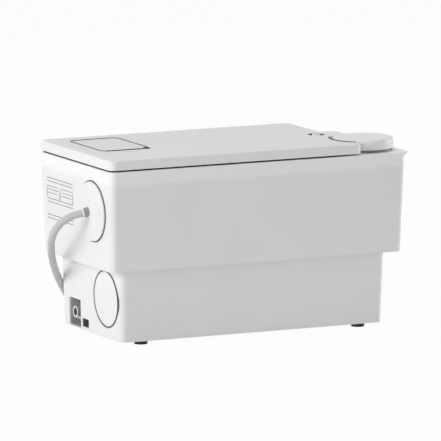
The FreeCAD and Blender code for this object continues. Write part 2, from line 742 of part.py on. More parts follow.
def make_flap():
    """The flush flap over the filter, with one corner cut away for a finger."""
    top = plate(
        "flap_plate",
        "flap_long",
        "flap_wide",
        "flap_corner",
        "flap_thick",
        (FLAP_X, FLAP_Y, f"{LID_TOP} - flap_thick"),
    )
    corner = box("flap_notch", "2 * notch", "2 * notch", "2 * flap_thick",
                 (f"{FLAP_X} + flap_long / 2", f"{FLAP_Y} - flap_wide / 2 - 2 * notch + notch * 0.4",
                  f"{LID_TOP} - 1.5 * flap_thick"), Rotation(Vector(0, 0, 1), 45))
    return cut("filter_flap", top, corner)


def make_filter_tray():
    """An open tray with a slotted floor that hangs under the flap."""
    length = "flap_long - 2 * (flap_shelf + fit)"
    width = "flap_wide - 2 * (flap_shelf + fit)"
    low = f"{LID_TOP} - flap_thick - tray_deep"
    outside = plate("tray_outside", length, width, "flap_corner", "tray_deep", (FLAP_X, FLAP_Y, low))
    inside = plate(
        "tray_inside",
        f"{length} - 2 * tray_wall",
        f"{width} - 2 * tray_wall",
        "flap_corner - tray_wall",
        "tray_deep",
        (FLAP_X, FLAP_Y, f"{low} + tray_wall"),
    )
    slots = [
        box(
            f"tray_slot_{index}",
            "flap_long / 2",
            "tray_wall * 2",
            "3 * tray_wall",
            (
                f"{FLAP_X} - flap_long / 4",
                f"{FLAP_Y} + ({share}) * flap_wide - tray_wall",
                f"{low} - tray_wall",
            ),
        )
        for index, share in enumerate((-0.3, -0.2, -0.1, 0, 0.1, 0.2, 0.3))
    ]
    return cut("filter_tray", outside, inside, *slots)


def make_carbon_filter():
    """The block of pressed carbon in the tray."""
    room = "2 * (flap_shelf + 2 * fit + tray_wall)"
    return plate(
        "carbon_filter",
        f"flap_long - {room}",
        f"flap_wide - {room}",
        "flap_corner - tray_wall - fit",
        "tray_deep - tray_wall - fit",
        (FLAP_X, FLAP_Y, f"{LID_TOP} - flap_thick - tray_deep + tray_wall"),
    )


def make_outlet_socket():
    """The discharge socket: a collar on the deck, a neck for the cap and a stepped bore."""
    blank = fuse(
        "socket_blank",
        cylinder("socket_stem", SOCKET_OUT, f"rim_top - ({VALVE_TOP})", (CAP_X, CAP_Y, VALVE_TOP)),
        cylinder("socket_collar", "collar_out", "collar_tall", (CAP_X, CAP_Y, "rim_top")),
        cylinder(
            "socket_neck", "outlet_bore + neck_wall", f"{NECK_TOP} - rim_top", (CAP_X, CAP_Y, "rim_top")
        ),
    )
    bore = cylinder(
        "socket_bore", "outlet_bore", "2 * outlet_deep", (CAP_X, CAP_Y, f"{NECK_TOP} - outlet_deep")
    )
    way = cylinder("socket_way", "valve_in", "outlet_deep", (CAP_X, CAP_Y, f"{VALVE_TOP} - outlet_stop"))
    return cut("outlet_socket", blank, bore, way)


def make_outlet_cap():
    """The round cap over the discharge socket, with a rounded top edge."""
    low = "rim_top + collar_tall + fit"
    body = doc.addObject("PartDesign::Body", "cap_body")
    cap = body.newObject("PartDesign::AdditiveCylinder", "cap_cylinder")
    bind(cap, Radius="cap_out", Height=f"{LID_TOP} + cap_rise - ({low})")
    doc.recompute()
    rounding = body.newObject("PartDesign::Fillet", "cap_rounding")
    rounding.Base = (cap, [top_face(cap)])
    bind(rounding, Radius="cap_round")
    place(body, (CAP_X, CAP_Y, low))
    inside_tall = f"{LID_TOP} + cap_rise - cap_skin - rim_top"
    inside = cylinder("cap_inside", "outlet_bore + neck_wall + fit", inside_tall, (CAP_X, CAP_Y, "rim_top"))
    return cut("outlet_cap", body, inside)


def make_cable_cover(form):
    """A round disc, flush with the drafted end wall, that carries the cable gland."""
    disc = cylinder(
        "cover_disc",
        "cover_out",
        "cover_floor + wall",
        (COVER_SEAT, "cover_side", "cover_up"),
        ALONG_MINUS_X,
    )
    hole = cylinder("cover_gland_hole", "gland_stem", "3 * wall + cover_floor",
                    (f"{COVER_SEAT} + wall", "cover_side", "cover_up"), ALONG_MINUS_X)
    return cut("cable_cover", common("cover_flush", disc, form), hole)


def make_cable_gland():
    """The gland: a stem through the cover, a hub and a soft boot that leans the way the cord goes."""
    hub_end = f"{LEFT} - gland_hub"
    stem = cylinder("gland_stem", "gland_stem", f"{COVER_SEAT} + nut_tall + fit - ({hub_end})",
                    (f"{COVER_SEAT} + nut_tall + fit", "cover_side", "cover_up"), ALONG_MINUS_X)
    hub = cylinder(
        "gland_hub",
        "gland_out",
        "gland_hub + cover_lean",
        (f"{LEFT} + cover_lean", "cover_side", "cover_up"),
        ALONG_MINUS_X,
    )
    boot = cone(
        "gland_boot",
        "gland_out * 0.92",
        "gland_tip",
        "gland_reach",
        (hub_end, "cover_side", "cover_up"),
        BOOT_TURN,
    )
    return fuse("cable_gland", stem, hub, boot)


def make_gland_nut():
    """The locknut behind the cable cover."""
    nut = doc.addObject("Part::Prism", "nut_blank")
    nut.Polygon = 6
    bind(nut, Circumradius="gland_stem + 2 * wall", Height="nut_tall")
    place(nut, (f"{COVER_SEAT} + nut_tall", "cover_side", "cover_up"), ALONG_MINUS_X)
    hole = cylinder(
        "nut_hole",
        "gland_stem",
        "3 * nut_tall",
        (f"{COVER_SEAT} + 2 * nut_tall", "cover_side", "cover_up"),
        ALONG_MINUS_X,
    )
    return cut("gland_nut", nut, hole)


def make_inlet_plug(form):
    """The plug in the side inlet: a face flush with the wall and a hollow stem in the bore."""
    at = ("inlet_side", "inlet_up")
    face = common(
        "plug_face",
        cylinder("plug_disc", "plug_out", "plug_floor + wall", (PLUG_SEAT, *at), ALONG_MINUS_X),
        form,
    )
    stem = cylinder(
        "plug_stem", "inlet_bore - fit", "plug_deep", (f"{PLUG_SEAT} + plug_deep", *at), ALONG_MINUS_X
    )
    inside = (f"{PLUG_SEAT} + plug_deep", *at)
    hollow = cylinder("plug_hollow", "inlet_bore - fit - plug_skin", "plug_deep", inside, ALONG_MINUS_X)
    return cut("inlet_plug", fuse("plug_blank", face, stem), hollow)


def make_inlet_seal():
    """The lip ring in the groove of the inlet."""
    return tube("inlet_seal", "inlet_bore + seal_deep", "inlet_bore", "seal_wide",
                (SEAL_INNER, "inlet_side", "inlet_up"), ALONG_MINUS_X)


def make_drain_spigot():
    """A short closed hose spigot in the drain pocket, to be drilled out when a drain hose is fitted."""
    at = ("drain_axis_side", "drain_axis_up")
    back = f"{LOWER_LEFT} + drain_deep"
    outside = cylinder("spigot_outside", "drain_out", "drain_reach", (back, *at), ALONG_MINUS_X)
    bore = cylinder(
        "spigot_bore", "drain_bore", "drain_reach", (f"{back} - drain_blind", *at), ALONG_MINUS_X
    )
    rib = box("spigot_rib", "drain_reach", "drain_axis_side - drain_side", "wall",
              (f"{back} - drain_reach", "drain_side", "drain_axis_up - drain_out"))
    return cut("drain_spigot", fuse("spigot_blank", outside, rib), bore)


def make_control_box():
    """The box for board and capacitor, open at the top, with posts for the board and two cable holes."""
    corner = (BOX_LOW, "box_side", "box_up")
    outside = box("box_outside", "box_long", "box_wide", "box_tall", corner)
    inside = box("box_inside", "box_long - 2 * box_wall", "box_wide - 2 * box_wall", "box_tall",
                 (f"{BOX_LOW} + box_wall", "box_side + box_wall", "box_up + box_wall"))
    posts = [
        cylinder(
            f"box_post_{index}",
            "box_wall",
            "board_stand",
            (f"{BOX_LOW} + {along} * box_long", f"box_side + {across} * box_wide", "box_up + box_wall"),
        )
        for index, (along, across) in enumerate(((0.15, 0.15), (0.85, 0.15), (0.15, 0.85), (0.85, 0.85)))
    ]
    supply = cylinder(
        "supply_hole", "cord_out", "3 * box_wall", (SUPPLY_X, "box_side - box_wall", "cover_up"), ALONG_Y
    )
    motor = cylinder(
        "motor_hole",
        "cord_out",
        "3 * box_wall",
        (f"{BOX_LOW} + box_long - 2 * box_wall", LEAD_Y, LEAD_UP),
        ALONG_X,
    )
    return cut("control_box", fuse("box_solids", cut("box_shell", outside, inside), *posts), supply, motor)


def make_box_cover():
    return box("box_cover", "box_long", "box_wide", "box_lid", (BOX_LOW, "box_side", "box_up + box_tall"))


BOARD_UP = "box_up + box_wall + board_stand"


def make_circuit_board():
    return box(
        "circuit_board",
        "box_long - 2 * (box_wall + fit)",
        "box_wide - 2 * (box_wall + fit)",
        "board_thick",
        (f"{BOX_LOW} + box_wall + fit", "box_side + box_wall + fit", BOARD_UP),
    )


def make_capacitor():
    """The run capacitor lies along the board."""
    return cylinder("run_capacitor", "can_out", "can_long",
                    (f"{BOX_LOW} + box_wall + 2 * fit + can_out", "box_side + (box_wide - can_long) / 2",
                     f"{BOARD_UP} + board_thick + can_out"), ALONG_Y)


def make_relay():
    return box(
        "pump_relay",
        "can_out * 1.6",
        "can_out * 2",
        "can_out * 1.7",
        (
            f"{BOX_LOW} + box_long - box_wall - can_out * 2",
            "box_side + box_wide / 2",
            f"{BOARD_UP} + board_thick",
        ),
    )


def make_strainer():
    """The perforated plate that the pump stands on."""
    disc = tube("strainer_ring", "volute_out", "suction_bore", "strainer_plate",
                ("pump_x", "pump_y", f"{CASING_LOW} - strainer_plate"))
    slots = []
    for index in range(12):
        x, y = round_the_pump("suction_bore + 4 * wall", 30 * index + 15)
        slots.append(
            cylinder(
                f"strainer_hole_{index}",
                "wall",
                "3 * strainer_plate",
                (x, y, f"{CASING_LOW} - 2 * strainer_plate"),
            ),
        )
    return cut("suction_strainer", disc, *slots)


def pump_bolt_holes(name, low, height):
    return [
        cylinder(f"{name}_{index}", "bolt_stem + slip", height, (*round_the_pump("bolt_at", angle), low))
        for index, angle in enumerate(BOLT_ANGLES)
    ]


BOLT_ANGLES = (0, 105, 210)
FLANGE_TOP = f"{PLATE_TOP} + motor_flange"


def make_pump_casing():
    """The casing round the impeller, with its spigot to the riser."""
    axis = ("pump_x", "pump_y")
    outside = fuse(
        "casing_blank",
        cylinder("casing_drum", "volute_out", "volute_tall", (*axis, CASING_LOW)),
        cylinder("casing_spigot", "pipe_out", "pipe_reach", ("pump_x", CAP_Y, PIPE_UP), ALONG_X),
    )
    hollow = fuse(
        "casing_hollow",
        cylinder("casing_chamber", "volute_in", "volute_tall", (*axis, CASING_FLOOR)),
        cylinder("casing_bore", "pipe_in", "pipe_reach + wall", ("pump_x", CAP_Y, PIPE_UP), ALONG_X),
        cylinder("casing_eye", "suction_bore", "3 * volute_floor", (*axis, f"{CASING_LOW} - volute_floor")),
    )
    return cut(
        "pump_casing",
        outside,
        hollow,
        *pump_bolt_holes("casing_bolt", f"{FLANGE_TOP} - bolt_long - slip", "bolt_long"),
    )


def make_seal_plate():
    """The plate between pump casing and motor, with the seat of the lower bearing."""
    axis = ("pump_x", "pump_y")
    solids = fuse(
        "seal_plate_blank",
        cylinder("seal_disc", "volute_out", "seal_plate", (*axis, CASING_TOP)),
        cylinder("seal_boss", "bearing_out + bearing_boss", "bearing_tall", (*axis, PLATE_TOP)),
    )
    seat = cylinder("lower_seat", "bearing_out", "2 * bearing_tall", (*axis, PLATE_TOP))
    hole = cylinder("seal_hole", "face_seal", "3 * seal_plate", (*axis, f"{CASING_TOP} - seal_plate"))
    return cut(
        "seal_plate", solids, seat, hole, *pump_bolt_holes("seal_bolt", f"{CASING_TOP} - wall", "bolt_long")
    )


def round_part(name, outer, inner, low, height):
    """A ring about the pump's axis."""
    return tube(name, outer, inner, height, ("pump_x", "pump_y", low))


def make_motor_housing():
    """A deep cup with a flange below and the seat of the upper bearing inside its top."""
    axis = ("pump_x", "pump_y")
    solids = fuse(
        "housing_blank",
        cylinder("housing_drum", "motor_out", "motor_tall", (*axis, PLATE_TOP)),
        cylinder("housing_flange", "volute_out", "motor_flange", (*axis, PLATE_TOP)),
    )
    inside = cylinder(
        "housing_inside", "motor_out - motor_wall", "motor_tall", (*axis, f"{PLATE_TOP} - motor_wall")
    )
    boss = round_part(
        "upper_seat",
        "bearing_out + bearing_boss",
        "bearing_out",
        f"{HOUSING_TOP} - motor_wall - bearing_tall",
        "bearing_tall + motor_wall / 2",
    )
    roof = cylinder("housing_roof", "motor_out", "motor_wall", (*axis, f"{HOUSING_TOP} - motor_wall"))
    shell = cut(
        "housing_shell",
        solids,
        inside,
        *pump_bolt_holes("housing_bolt", f"{PLATE_TOP} - wall", "bolt_long"),
    )
    lead = cylinder(
        "housing_lead_hole",
        "cord_out",
        "2 * motor_out",
        ("pump_x - 1.5 * motor_out", "pump_y", LEAD_UP),
        ALONG_X,
    )
    return cut("motor_housing", fuse("housing_solids", shell, boss, roof), lead)


def make_stator():
    return round_part(
        "stator", "motor_out - motor_wall", "stator_in", f"{PLATE_TOP} + stator_up", "stator_tall"
    )


def make_windings():
    """The two copper winding heads."""
    low = round_part(
        "winding_low", "coil_out", "coil_in", f"{PLATE_TOP} + stator_up - coil_tall", "coil_tall"
    )
    high = round_part(
        "winding_high", "coil_out", "coil_in", f"{PLATE_TOP} + stator_up + stator_tall", "coil_tall"
    )
    pair = doc.addObject("Part::Compound", "stator_windings")
    pair.Links = [low, high]
    return pair


def make_bearings():
    """Two equal ball bearings, one each side of the rotor."""
    inner = "shaft_out + shaft_slip"
    low = round_part("bearing_low", "bearing_out", inner, PLATE_TOP, "bearing_tall")
    high = round_part(
        "bearing_high", "bearing_out", inner, f"{HOUSING_TOP} - motor_wall - bearing_tall", "bearing_tall"
    )
    pair = doc.addObject("Part::Compound", "shaft_bearings")
    pair.Links = [low, high]
    return pair


SHAFT_LOW = f"{CASING_FLOOR} + vane_gap"


def make_shaft():
    return cylinder(
        "motor_shaft",
        "shaft_out",
        f"{HOUSING_TOP} - motor_wall - slip - ({SHAFT_LOW})",
        ("pump_x", "pump_y", SHAFT_LOW),
    )


def make_impeller():
    """An open impeller: hub, disc and vanes that face the suction eye."""
    plate_low = f"{SHAFT_LOW} + vane_tall"
    hub = cylinder(
        "impeller_hub", "impeller_hub", "vane_tall + 2 * impeller_plate", ("pump_x", "pump_y", SHAFT_LOW)
    )
    disc = cylinder("impeller_disc", "impeller_out", "impeller_plate", ("pump_x", "pump_y", plate_low))
    vanes = []
    for index in range(6):
        degrees = 60 * index
        x, y = round_the_pump("impeller_hub / 2", degrees, "-vane_thick / 2")
        turn = Rotation(Vector(0, 0, 1), degrees)
        vanes.append(
            box(
                f"vane_{index}",
                "impeller_out - impeller_hub / 2 - 1",
                "vane_thick",
                "vane_tall",
                (x, y, SHAFT_LOW),
                turn,
            ),
        )
    bore = cylinder(
        "impeller_bore", "shaft_out", "3 * vane_tall", ("pump_x", "pump_y", f"{SHAFT_LOW} - vane_tall")
    )
    return cut("impeller", fuse("impeller_blank", hub, disc, *vanes), bore)


def make_pump_screws():
    """Three socket screws hold housing, seal plate and casing together."""
    screws = []
    for index, angle in enumerate(BOLT_ANGLES):
        x, y = round_the_pump("bolt_at", angle)
        stem = cylinder(
            f"pump_screw_stem_{index}", "bolt_stem", "bolt_long", (x, y, f"{FLANGE_TOP} - bolt_long")
        )
        head = cylinder(f"pump_screw_head_{index}", "bolt_head", "bolt_stem * 1.8", (x, y, FLANGE_TOP))
        socket = doc.addObject("Part::Prism", f"pump_screw_socket_{index}")
        socket.Polygon = 6
        bind(socket, Circumradius="bolt_stem * 0.8", Height="bolt_stem * 2")
        place(socket, (x, y, f"{FLANGE_TOP} + bolt_stem"))
        screws.append(cut(f"pump_screw_{index}", fuse(f"pump_screw_blank_{index}", stem, head), socket))
    group = doc.addObject("Part::Compound", "pump_screws")
    group.Links = screws
    return group


def make_check_valve():
    """The valve chamber over the riser, with a seat for the flap and holes for its pin."""
    axis = (CAP_X, CAP_Y)
    floor_low = f"{SEAT_UP} - valve_floor"
    outside = fuse(
        "valve_blank",
        cylinder("valve_drum", "valve_out", "valve_tall + valve_floor", (*axis, floor_low)),
        cylinder(
            "valve_sleeve",
            "pipe_out + sleeve_wall",
            "sleeve_long + valve_floor",
            (*axis, f"{floor_low} - sleeve_long"),
        ),
    )
    pin = cylinder(
        "valve_pin_hole",
        "valve_pin",
        "2 * valve_out",
        (VALVE_PIN_X, f"{CAP_Y} - valve_out", VALVE_PIN_UP),
        ALONG_Y,
    )
    return cut(
        "check_valve",
        outside,
        cylinder("valve_chamber", "valve_in", "2 * valve_tall", (*axis, SEAT_UP)),
        cylinder(
            "valve_opening", "valve_seat", "4 * valve_floor", (*axis, f"{floor_low} - 2 * valve_floor")
        ),
        cylinder(
            "valve_socket", "pipe_out + slip", "2 * sleeve_long", (*axis, f"{floor_low} - 2 * sleeve_long")
        ),
        pin,
    )


VALVE_PIN_X = f"{CAP_X} - valve_pin_at"
VALVE_PIN_UP = f"{SEAT_UP} + valve_hub + slip"
VALVE_PIN_HALF = "valve_in - wall * 0.6"


def make_valve_pin():
    return cylinder(
        "valve_pin",
        "valve_pin",
        f"2 * ({VALVE_PIN_HALF})",
        (VALVE_PIN_X, f"{CAP_Y} - ({VALVE_PIN_HALF})", VALVE_PIN_UP),
        ALONG_Y,
    )


def make_valve_flap():
    """The flap lies on the seat and swings up on its pin when the pump runs."""
    disc = cylinder("flap_disc", "valve_disc", "valve_flap", (CAP_X, CAP_Y, f"{SEAT_UP} + slip"))
    hub = cylinder(
        "flap_hub",
        "valve_hub",
        "4 * valve_hub",
        (VALVE_PIN_X, f"{CAP_Y} - 2 * valve_hub", VALVE_PIN_UP),
        ALONG_Y,
    )
    bore = cylinder(
        "flap_bore",
        "valve_pin + slip",
        "8 * valve_hub",
        (VALVE_PIN_X, f"{CAP_Y} - 4 * valve_hub", VALVE_PIN_UP),
        ALONG_Y,
    )
    return cut("valve_flap", fuse("flap_blank", disc, hub), bore)


def rounded_path(points):
    """Straight runs joined by tangent arcs, each as large as its two runs allow; also gives the radii."""
    edges = []
    radii = []
    start = points[0]
    for before, corner, after in zip(points, points[1:], points[2:]):
        way_in = (corner - before).normalize()
        way_out = (after - corner).normalize()
        trim = 0.45 * min((corner - before).Length, (after - corner).Length)
        half_turn = way_in.getAngle(way_out) / 2
        radius = trim / math.tan(half_turn)
        arc_start = corner - way_in * trim
        arc_end = corner + way_out * trim
        inward = (way_out - way_in).normalize()
        middle = corner + inward * (radius / math.cos(half_turn) - radius)
        edges.append(Part.LineSegment(start, arc_start).toShape())
        edges.append(Part.Arc(arc_start, middle, arc_end).toShape())
        radii.append(radius)
        start = arc_end
    edges.append(Part.LineSegment(start, points[-1]).toShape())
    return Part.Wire(edges), radii


def sweep(path, radius):
    """A round solid along a path."""
    start = path.OrderedEdges[0]
    at = start.valueAt(start.FirstParameter)
    way = start.tangentAt(start.FirstParameter)
    ring = Part.Wire(Part.makeCircle(radius, at, way))
    return path.makePipeShell([ring], True, False)


def shape_of(name, shape):
    """A document object for a shape that follows a path."""
    thing = doc.addObject("Part::Feature", name)
    thing.Shape = shape
    return thing


def report_tube(name, path, radii, radius, shape):
    expected = math.pi * radius**2 * path.Length
    print(f"{name}: length {path.Length:.1f}, volume / (section x length) {shape.Volume / expected:.4f}")
    print("  radii", [round(value, 1) for value in radii])


def make_riser():
    """The rigid pipe from the pump casing up into the check valve, with a sleeve over the spigot."""
    wide, bore = size("pipe_out"), size("pipe_in")
    end = size("pump_x") + size("pipe_reach")
    low = value_of(PIPE_UP)
    top = value_of(f"{SEAT_UP} - valve_floor")
    sleeve_low = top - size("sleeve_long")
    cap_x, cap_y = value_of(CAP_X), value_of(CAP_Y)
    riser = cap_x - size("riser_from_cap")
    straight = size("riser_from_cap") + size("wall")
    points = [
        Vector(end, cap_y, low),
        Vector(riser, cap_y, low),
        Vector(riser, cap_y, sleeve_low - 2 * straight - size("pipe_in")),
        Vector(cap_x, cap_y, sleeve_low - straight),
        Vector(cap_x, cap_y, top),
    ]
    path, radii = rounded_path(points)
    outside = sweep(path, wide)
    sleeve_out = wide + size("sleeve_wall")
    sleeve_at = Vector(end - size("sleeve_long"), cap_y, low)
    sleeve = Part.makeCylinder(sleeve_out, size("sleeve_long") + size("wall"), sleeve_at, Vector(1, 0, 0))
    socket = Part.makeCylinder(wide + size("slip"), size("sleeve_long"), sleeve_at, Vector(1, 0, 0))
    print("riser radii", [round(value, 1) for value in radii])
    return shape_of("riser_pipe", outside.fuse(sleeve).cut(socket).cut(sweep(path, bore)))


def make_lead(name, points):
    """A lead between two pieces inside the unit."""
    path, radii = rounded_path(points)
    shape = sweep(path, size("cord_out"))
    report_tube(name, path, radii, size("cord_out"), shape)
    return shape_of(name, shape)


def make_supply_lead():
    """From the back of the gland into the control box."""
    back = value_of(f"{COVER_SEAT} + nut_tall + fit")
    side, up = size("cover_side"), size("cover_up")
    supply = value_of(SUPPLY_X)
    inside = size("box_side") + size("box_wall")
    return make_lead(
        "supply_lead", [Vector(back, side, up), Vector(supply, side, up), Vector(supply, inside, up)]
    )


def make_motor_lead():
    """From the control box into the top of the motor."""
    start = value_of(f"{BOX_LOW} + box_long - box_wall")
    end = value_of("pump_x - motor_out + motor_wall / 2")
    side, up = value_of(LEAD_Y), value_of(LEAD_UP)
    bend = 0.35 * (end - start)
    points = [
        Vector(start, side, up),
        Vector(start + bend, side, up),
        Vector(end - bend, size("pump_y"), up),
        Vector(end, size("pump_y"), up),
    ]
    return make_lead("motor_lead", points)


# The mains cord's route: out of the boot, back and down round the unit's corner, and to the floor.
CORD_POINTS = [
    (-168.5, -37.55, 131.2),
    (-177.8, -34.05, 128.95),
    (-185.8, -26.75, 123.15),
    (-188.85, -15.25, 113.9),
    (-187.45, -1.25, 102.3),
    (-181.15, 13.55, 90),
    (-170.65, 30.75, 76.6),
    (-157.05, 52.75, 60.4),
    (-140.75, 75.15, 43),
    (-123.15, 94.85, 25.5),
    (-108.25, 111.05, 11),
    (-96.45, 126.25, 3.75),
    (-88.75, 143.25, 3.75),
]


def make_cord():
    path, radii = rounded_path([Vector(*point) for point in CORD_POINTS])
    shape = sweep(path, size("cord_out"))
    report_tube("mains_cord", path, radii, size("cord_out"), shape)
    return shape_of("mains_cord", shape)


def biarc(start, way, end, end_way):
    """Two arcs that leave start along way and reach end along end_way."""
    chord = end - start
    ways = way + end_way
    spare = 2 * (1 - way.dot(end_way))
    along = chord.dot(ways)
    reach = (math.sqrt(along**2 + spare * chord.dot(chord)) - along) / spare
    first = start + way * reach
    last = end - end_way * reach
    joint = (first + last) * 0.5
    arcs = []
    for low, control, high in ((start, first, joint), (joint, last, end)):
        weight = (high - low).Length / (2 * reach)
        middle = (low + high + control * (2 * weight)) * (1 / (2 + 2 * weight))
        arcs.append(Part.Arc(low, middle, high).toShape())
    return arcs


def coil_place(turns):
    """Radius and height of the coil's middle line after some turns.

    It spirals in on the floor, turns back halfway through a climb of half a turn, and spirals out on top.
    """
    pitch, layer = size("turn_pitch"), size("coil_turns")
    climb = 0.5
    outer = size("coil_middle") + pitch * layer / 2
    back = layer + climb / 2
    radius = outer - pitch * (back - abs(back - turns))
    share = min(max((turns - layer) / climb, 0), 1)
    gentle = share * share * (3 - 2 * share)
    return radius, size("cord_out") + size("layer_rise") * gentle


def make_coil():
    """The rest of the mains cord, wound clockwise into a neat coil of two layers."""
    quarters = round(4 * 2 * size("coil_turns")) + 1
    before, start = Vector(*CORD_POINTS[-2]), Vector(*CORD_POINTS[-1])
    way = (start - before).normalize()
    lead_in = way * (2 * size("cord_out"))
    radius, height = coil_place(0)
    middle = start + lead_in + Vector(way.y, -way.x, 0) * radius
    start_angle = math.atan2(way.x, -way.y)

    def point(turns):
        radius, height = coil_place(turns)
        angle = start_angle - 2 * math.pi * turns
        return Vector(middle.x + radius * math.cos(angle), middle.y + radius * math.sin(angle), height)

    def heading(turns):
        step = 0.02
        return (point(turns + step) - point(max(0, turns - step))).normalize()

    places = [point(quarter / 4) for quarter in range(quarters + 1)]
    ways = [way] + [heading(quarter / 4) for quarter in range(1, quarters + 1)]
    edges = [Part.LineSegment(start, places[0]).toShape()]
    for index in range(quarters):
        edges += biarc(places[index], ways[index], places[index + 1], ways[index + 1])
    end_way = Vector(ways[-1].x, ways[-1].y, 0).normalize()
    tail = places[-1] + end_way * (2 * size("cord_out"))
    edges.append(Part.LineSegment(places[-1], tail).toShape())
    path = Part.Wire(edges)
    shape = sweep(path, size("cord_out"))
    report_tube("cord_coil", path, [edge.Curve.Radius for edge in edges[1:-1]], size("cord_out"), shape)
    print(f"  least gap of the coil to itself {self_gap(path):.2f}")
    return shape_of("cord_coil", shape), tail, end_way


def self_gap(path):
    """The least space between two stretches of the coil, measured on points along it."""
    spacing = 1.5
    count = int(path.Length / spacing)
    points = path.discretize(count)
    apart = int(6 * size("cord_out") / spacing)
    least = min(
        (points[first] - points[second]).Length
        for first in range(count)
        for second in range(first + apart, count)
    )
    return least - 2 * size("cord_out")


def make_tail(start, way):
    """The short end of the cord, from the coil up into the plug beside it."""
    rise = size("plug_round") - start.z
    reach, level = size("tail_reach"), size("tail_level")
    points = [
        start,
        start + way * level,
        start + way * (reach - level) + Vector(0, 0, rise),
        start + way * reach + Vector(0, 0, rise),
    ]
    path, radii = rounded_path(points)
    shape = sweep(path, size("cord_out"))
    report_tube("cord_tail", path, radii, size("cord_out"), shape)
    return shape_of("cord_tail", shape), points[-1]


def make_plug(at, way):
    """An earthed mains plug on its side: grip, round face and two pins."""
    face, neck, tall = size("plug_round"), size("plug_neck"), size("plug_tall")
    grip_long, face_long = size("plug_grip_long"), size("plug_face_long")
    low = Part.makeCone(size("plug_grip"), neck, grip_long, at, way)
    middle = Part.makeCone(neck, face, tall - grip_long - face_long, at + way * grip_long, way)
    high = Part.makeCylinder(face, face_long, at + way * (tall - face_long), way)
    body = low.fuse(middle).fuse(high)
    across = Vector(-way.y, way.x, 0).normalize()
    pins = []
    for side in (-1, 1):
        foot = at + way * tall + across * (side * size("pin_apart") / 2)
        pins.append(Part.makeCylinder(size("pin_out"), size("pin_long"), foot, way))
    return shape_of("mains_plug", body), shape_of("plug_pins", Part.makeCompound(pins))


def make_float():
    """The float on its arm, hanging at its lowest place in the empty tank, and what carries it."""
    turn = Rotation(Vector(0, 1, 0), -(90 + size("float_drop")))
    pivot = ("float_pin_x", "float_side", "float_pin_up")
    float_x = "float_pin_x - float_arm * cos(float_drop)"
    float_z = "float_pin_up - float_arm * sin(float_drop)"
    rod = cylinder("float_rod", "float_rod", "float_arm - float_out / 2", pivot, turn)
    bind(rod, Placement__Rotation__Angle="-(90 + float_drop)")
    hub_at = ("float_pin_x", "float_side - float_hub_wide / 2", "float_pin_up")
    hub = cylinder("float_hub", "float_hub", "float_hub_wide", hub_at, ALONG_Y)
    bore_at = ("float_pin_x", "float_side - float_hub_wide", "float_pin_up")
    bore = cylinder("float_hub_bore", "float_pin + slip", "2 * float_hub_wide", bore_at, ALONG_Y)
    arm = cut("float_arm", fuse("float_arm_blank", rod, hub), bore)
    drum = cylinder(
        "float_drum", "float_out", "float_wide", (float_x, "float_side - float_wide / 2", float_z), ALONG_Y
    )
    return arm, cut("float_body", drum, rod)


def make_level_switch():
    """The switch body on the motor housing, forked round the float arm's hub."""
    wide = "float_hub_wide + 2 * (slip + 2 * switch_wall)"
    low = "float_pin_up - switch_tall / 2"
    block_at = ("float_pin_x - float_hub - switch_wall / 4", f"float_side - ({wide}) / 2", low)
    body = box("switch_block", "pump_x - float_pin_x + float_hub", wide, "switch_tall", block_at)
    below = "float_pin_up - switch_tall"
    slot_wide = "float_hub_wide + 2 * slip"
    slot_at = ("float_pin_x - float_hub - switch_wall", "float_side - float_hub_wide / 2 - slip", below)
    slot = box("switch_slot", "2 * float_hub + 2 * switch_wall", slot_wide, "2 * switch_tall", slot_at)
    hole_at = ("float_pin_x", f"float_side - ({wide})", "float_pin_up")
    hole = cylinder("switch_pin_hole", "float_pin", f"2 * ({wide})", hole_at, ALONG_Y)
    housing = cylinder("switch_back", "motor_out", "2 * switch_tall", ("pump_x", "pump_y", below))
    far_at = ("pump_x - motor_out / 2", "pump_y - 2 * motor_out", below)
    far = box("switch_far", "2 * motor_out", "4 * motor_out", "2 * switch_tall", far_at)
    switch = cut("level_switch", body, slot, hole, housing, far)
    pin_at = ("float_pin_x", f"float_side - ({wide}) / 2", "float_pin_up")
    return switch, cylinder("float_pin", "float_pin", wide, pin_at, ALONG_Y)


def make_feet():
    """Four round rubber feet."""
    feet = []
    for index, (along, across) in enumerate(((-1, -1), (1, -1), (1, 1), (-1, 1))):
        at = (f"centre_shift + foot_ahead + ({along}) * foot_long", f"({across}) * foot_wide", "0")
        feet.append(cylinder(f"foot_{index}", "foot_out", "foot_tall", at))
    group = doc.addObject("Part::Compound", "rubber_feet")
    group.Links = feet
    return group


def finish(thing, label):
    """Names the finished piece and puts it on the list that is written out."""
    thing.Label = label
    PIECES.append(thing)


PIECES = []
outside = make_outside()
finish(make_tank(outside), "tank")
finish(make_gasket(), "lid_gasket")
finish(make_lid(), "lid")
finish(make_lid_screw(), "lid_screw")
finish(make_flap(), "filter_flap")
finish(make_filter_tray(), "filter_tray")
finish(make_carbon_filter(), "carbon_filter")
finish(make_outlet_socket(), "outlet_socket")
finish(make_outlet_cap(), "outlet_cap")
finish(make_cable_cover(outside), "cable_cover")
finish(make_cable_gland(), "cable_gland")
finish(make_gland_nut(), "gland_nut")
finish(make_inlet_plug(outside), "inlet_plug")
finish(make_inlet_seal(), "inlet_seal")
finish(make_drain_spigot(), "drain_spigot")
finish(make_control_box(), "control_box")
finish(make_box_cover(), "box_cover")
finish(make_circuit_board(), "circuit_board")
finish(make_capacitor(), "run_capacitor")
finish(make_relay(), "pump_relay")
finish(make_strainer(), "suction_strainer")
finish(make_pump_casing(), "pump_casing")
finish(make_seal_plate(), "seal_plate")
finish(
    round_part("shaft_seal", "face_seal", "shaft_out + shaft_slip", CASING_TOP, "seal_plate"), "shaft_seal"
)
finish(make_motor_housing(), "motor_housing")
finish(make_stator(), "stator")
finish(make_windings(), "stator_windings")
finish(make_bearings(), "shaft_bearings")
finish(make_shaft(), "motor_shaft")
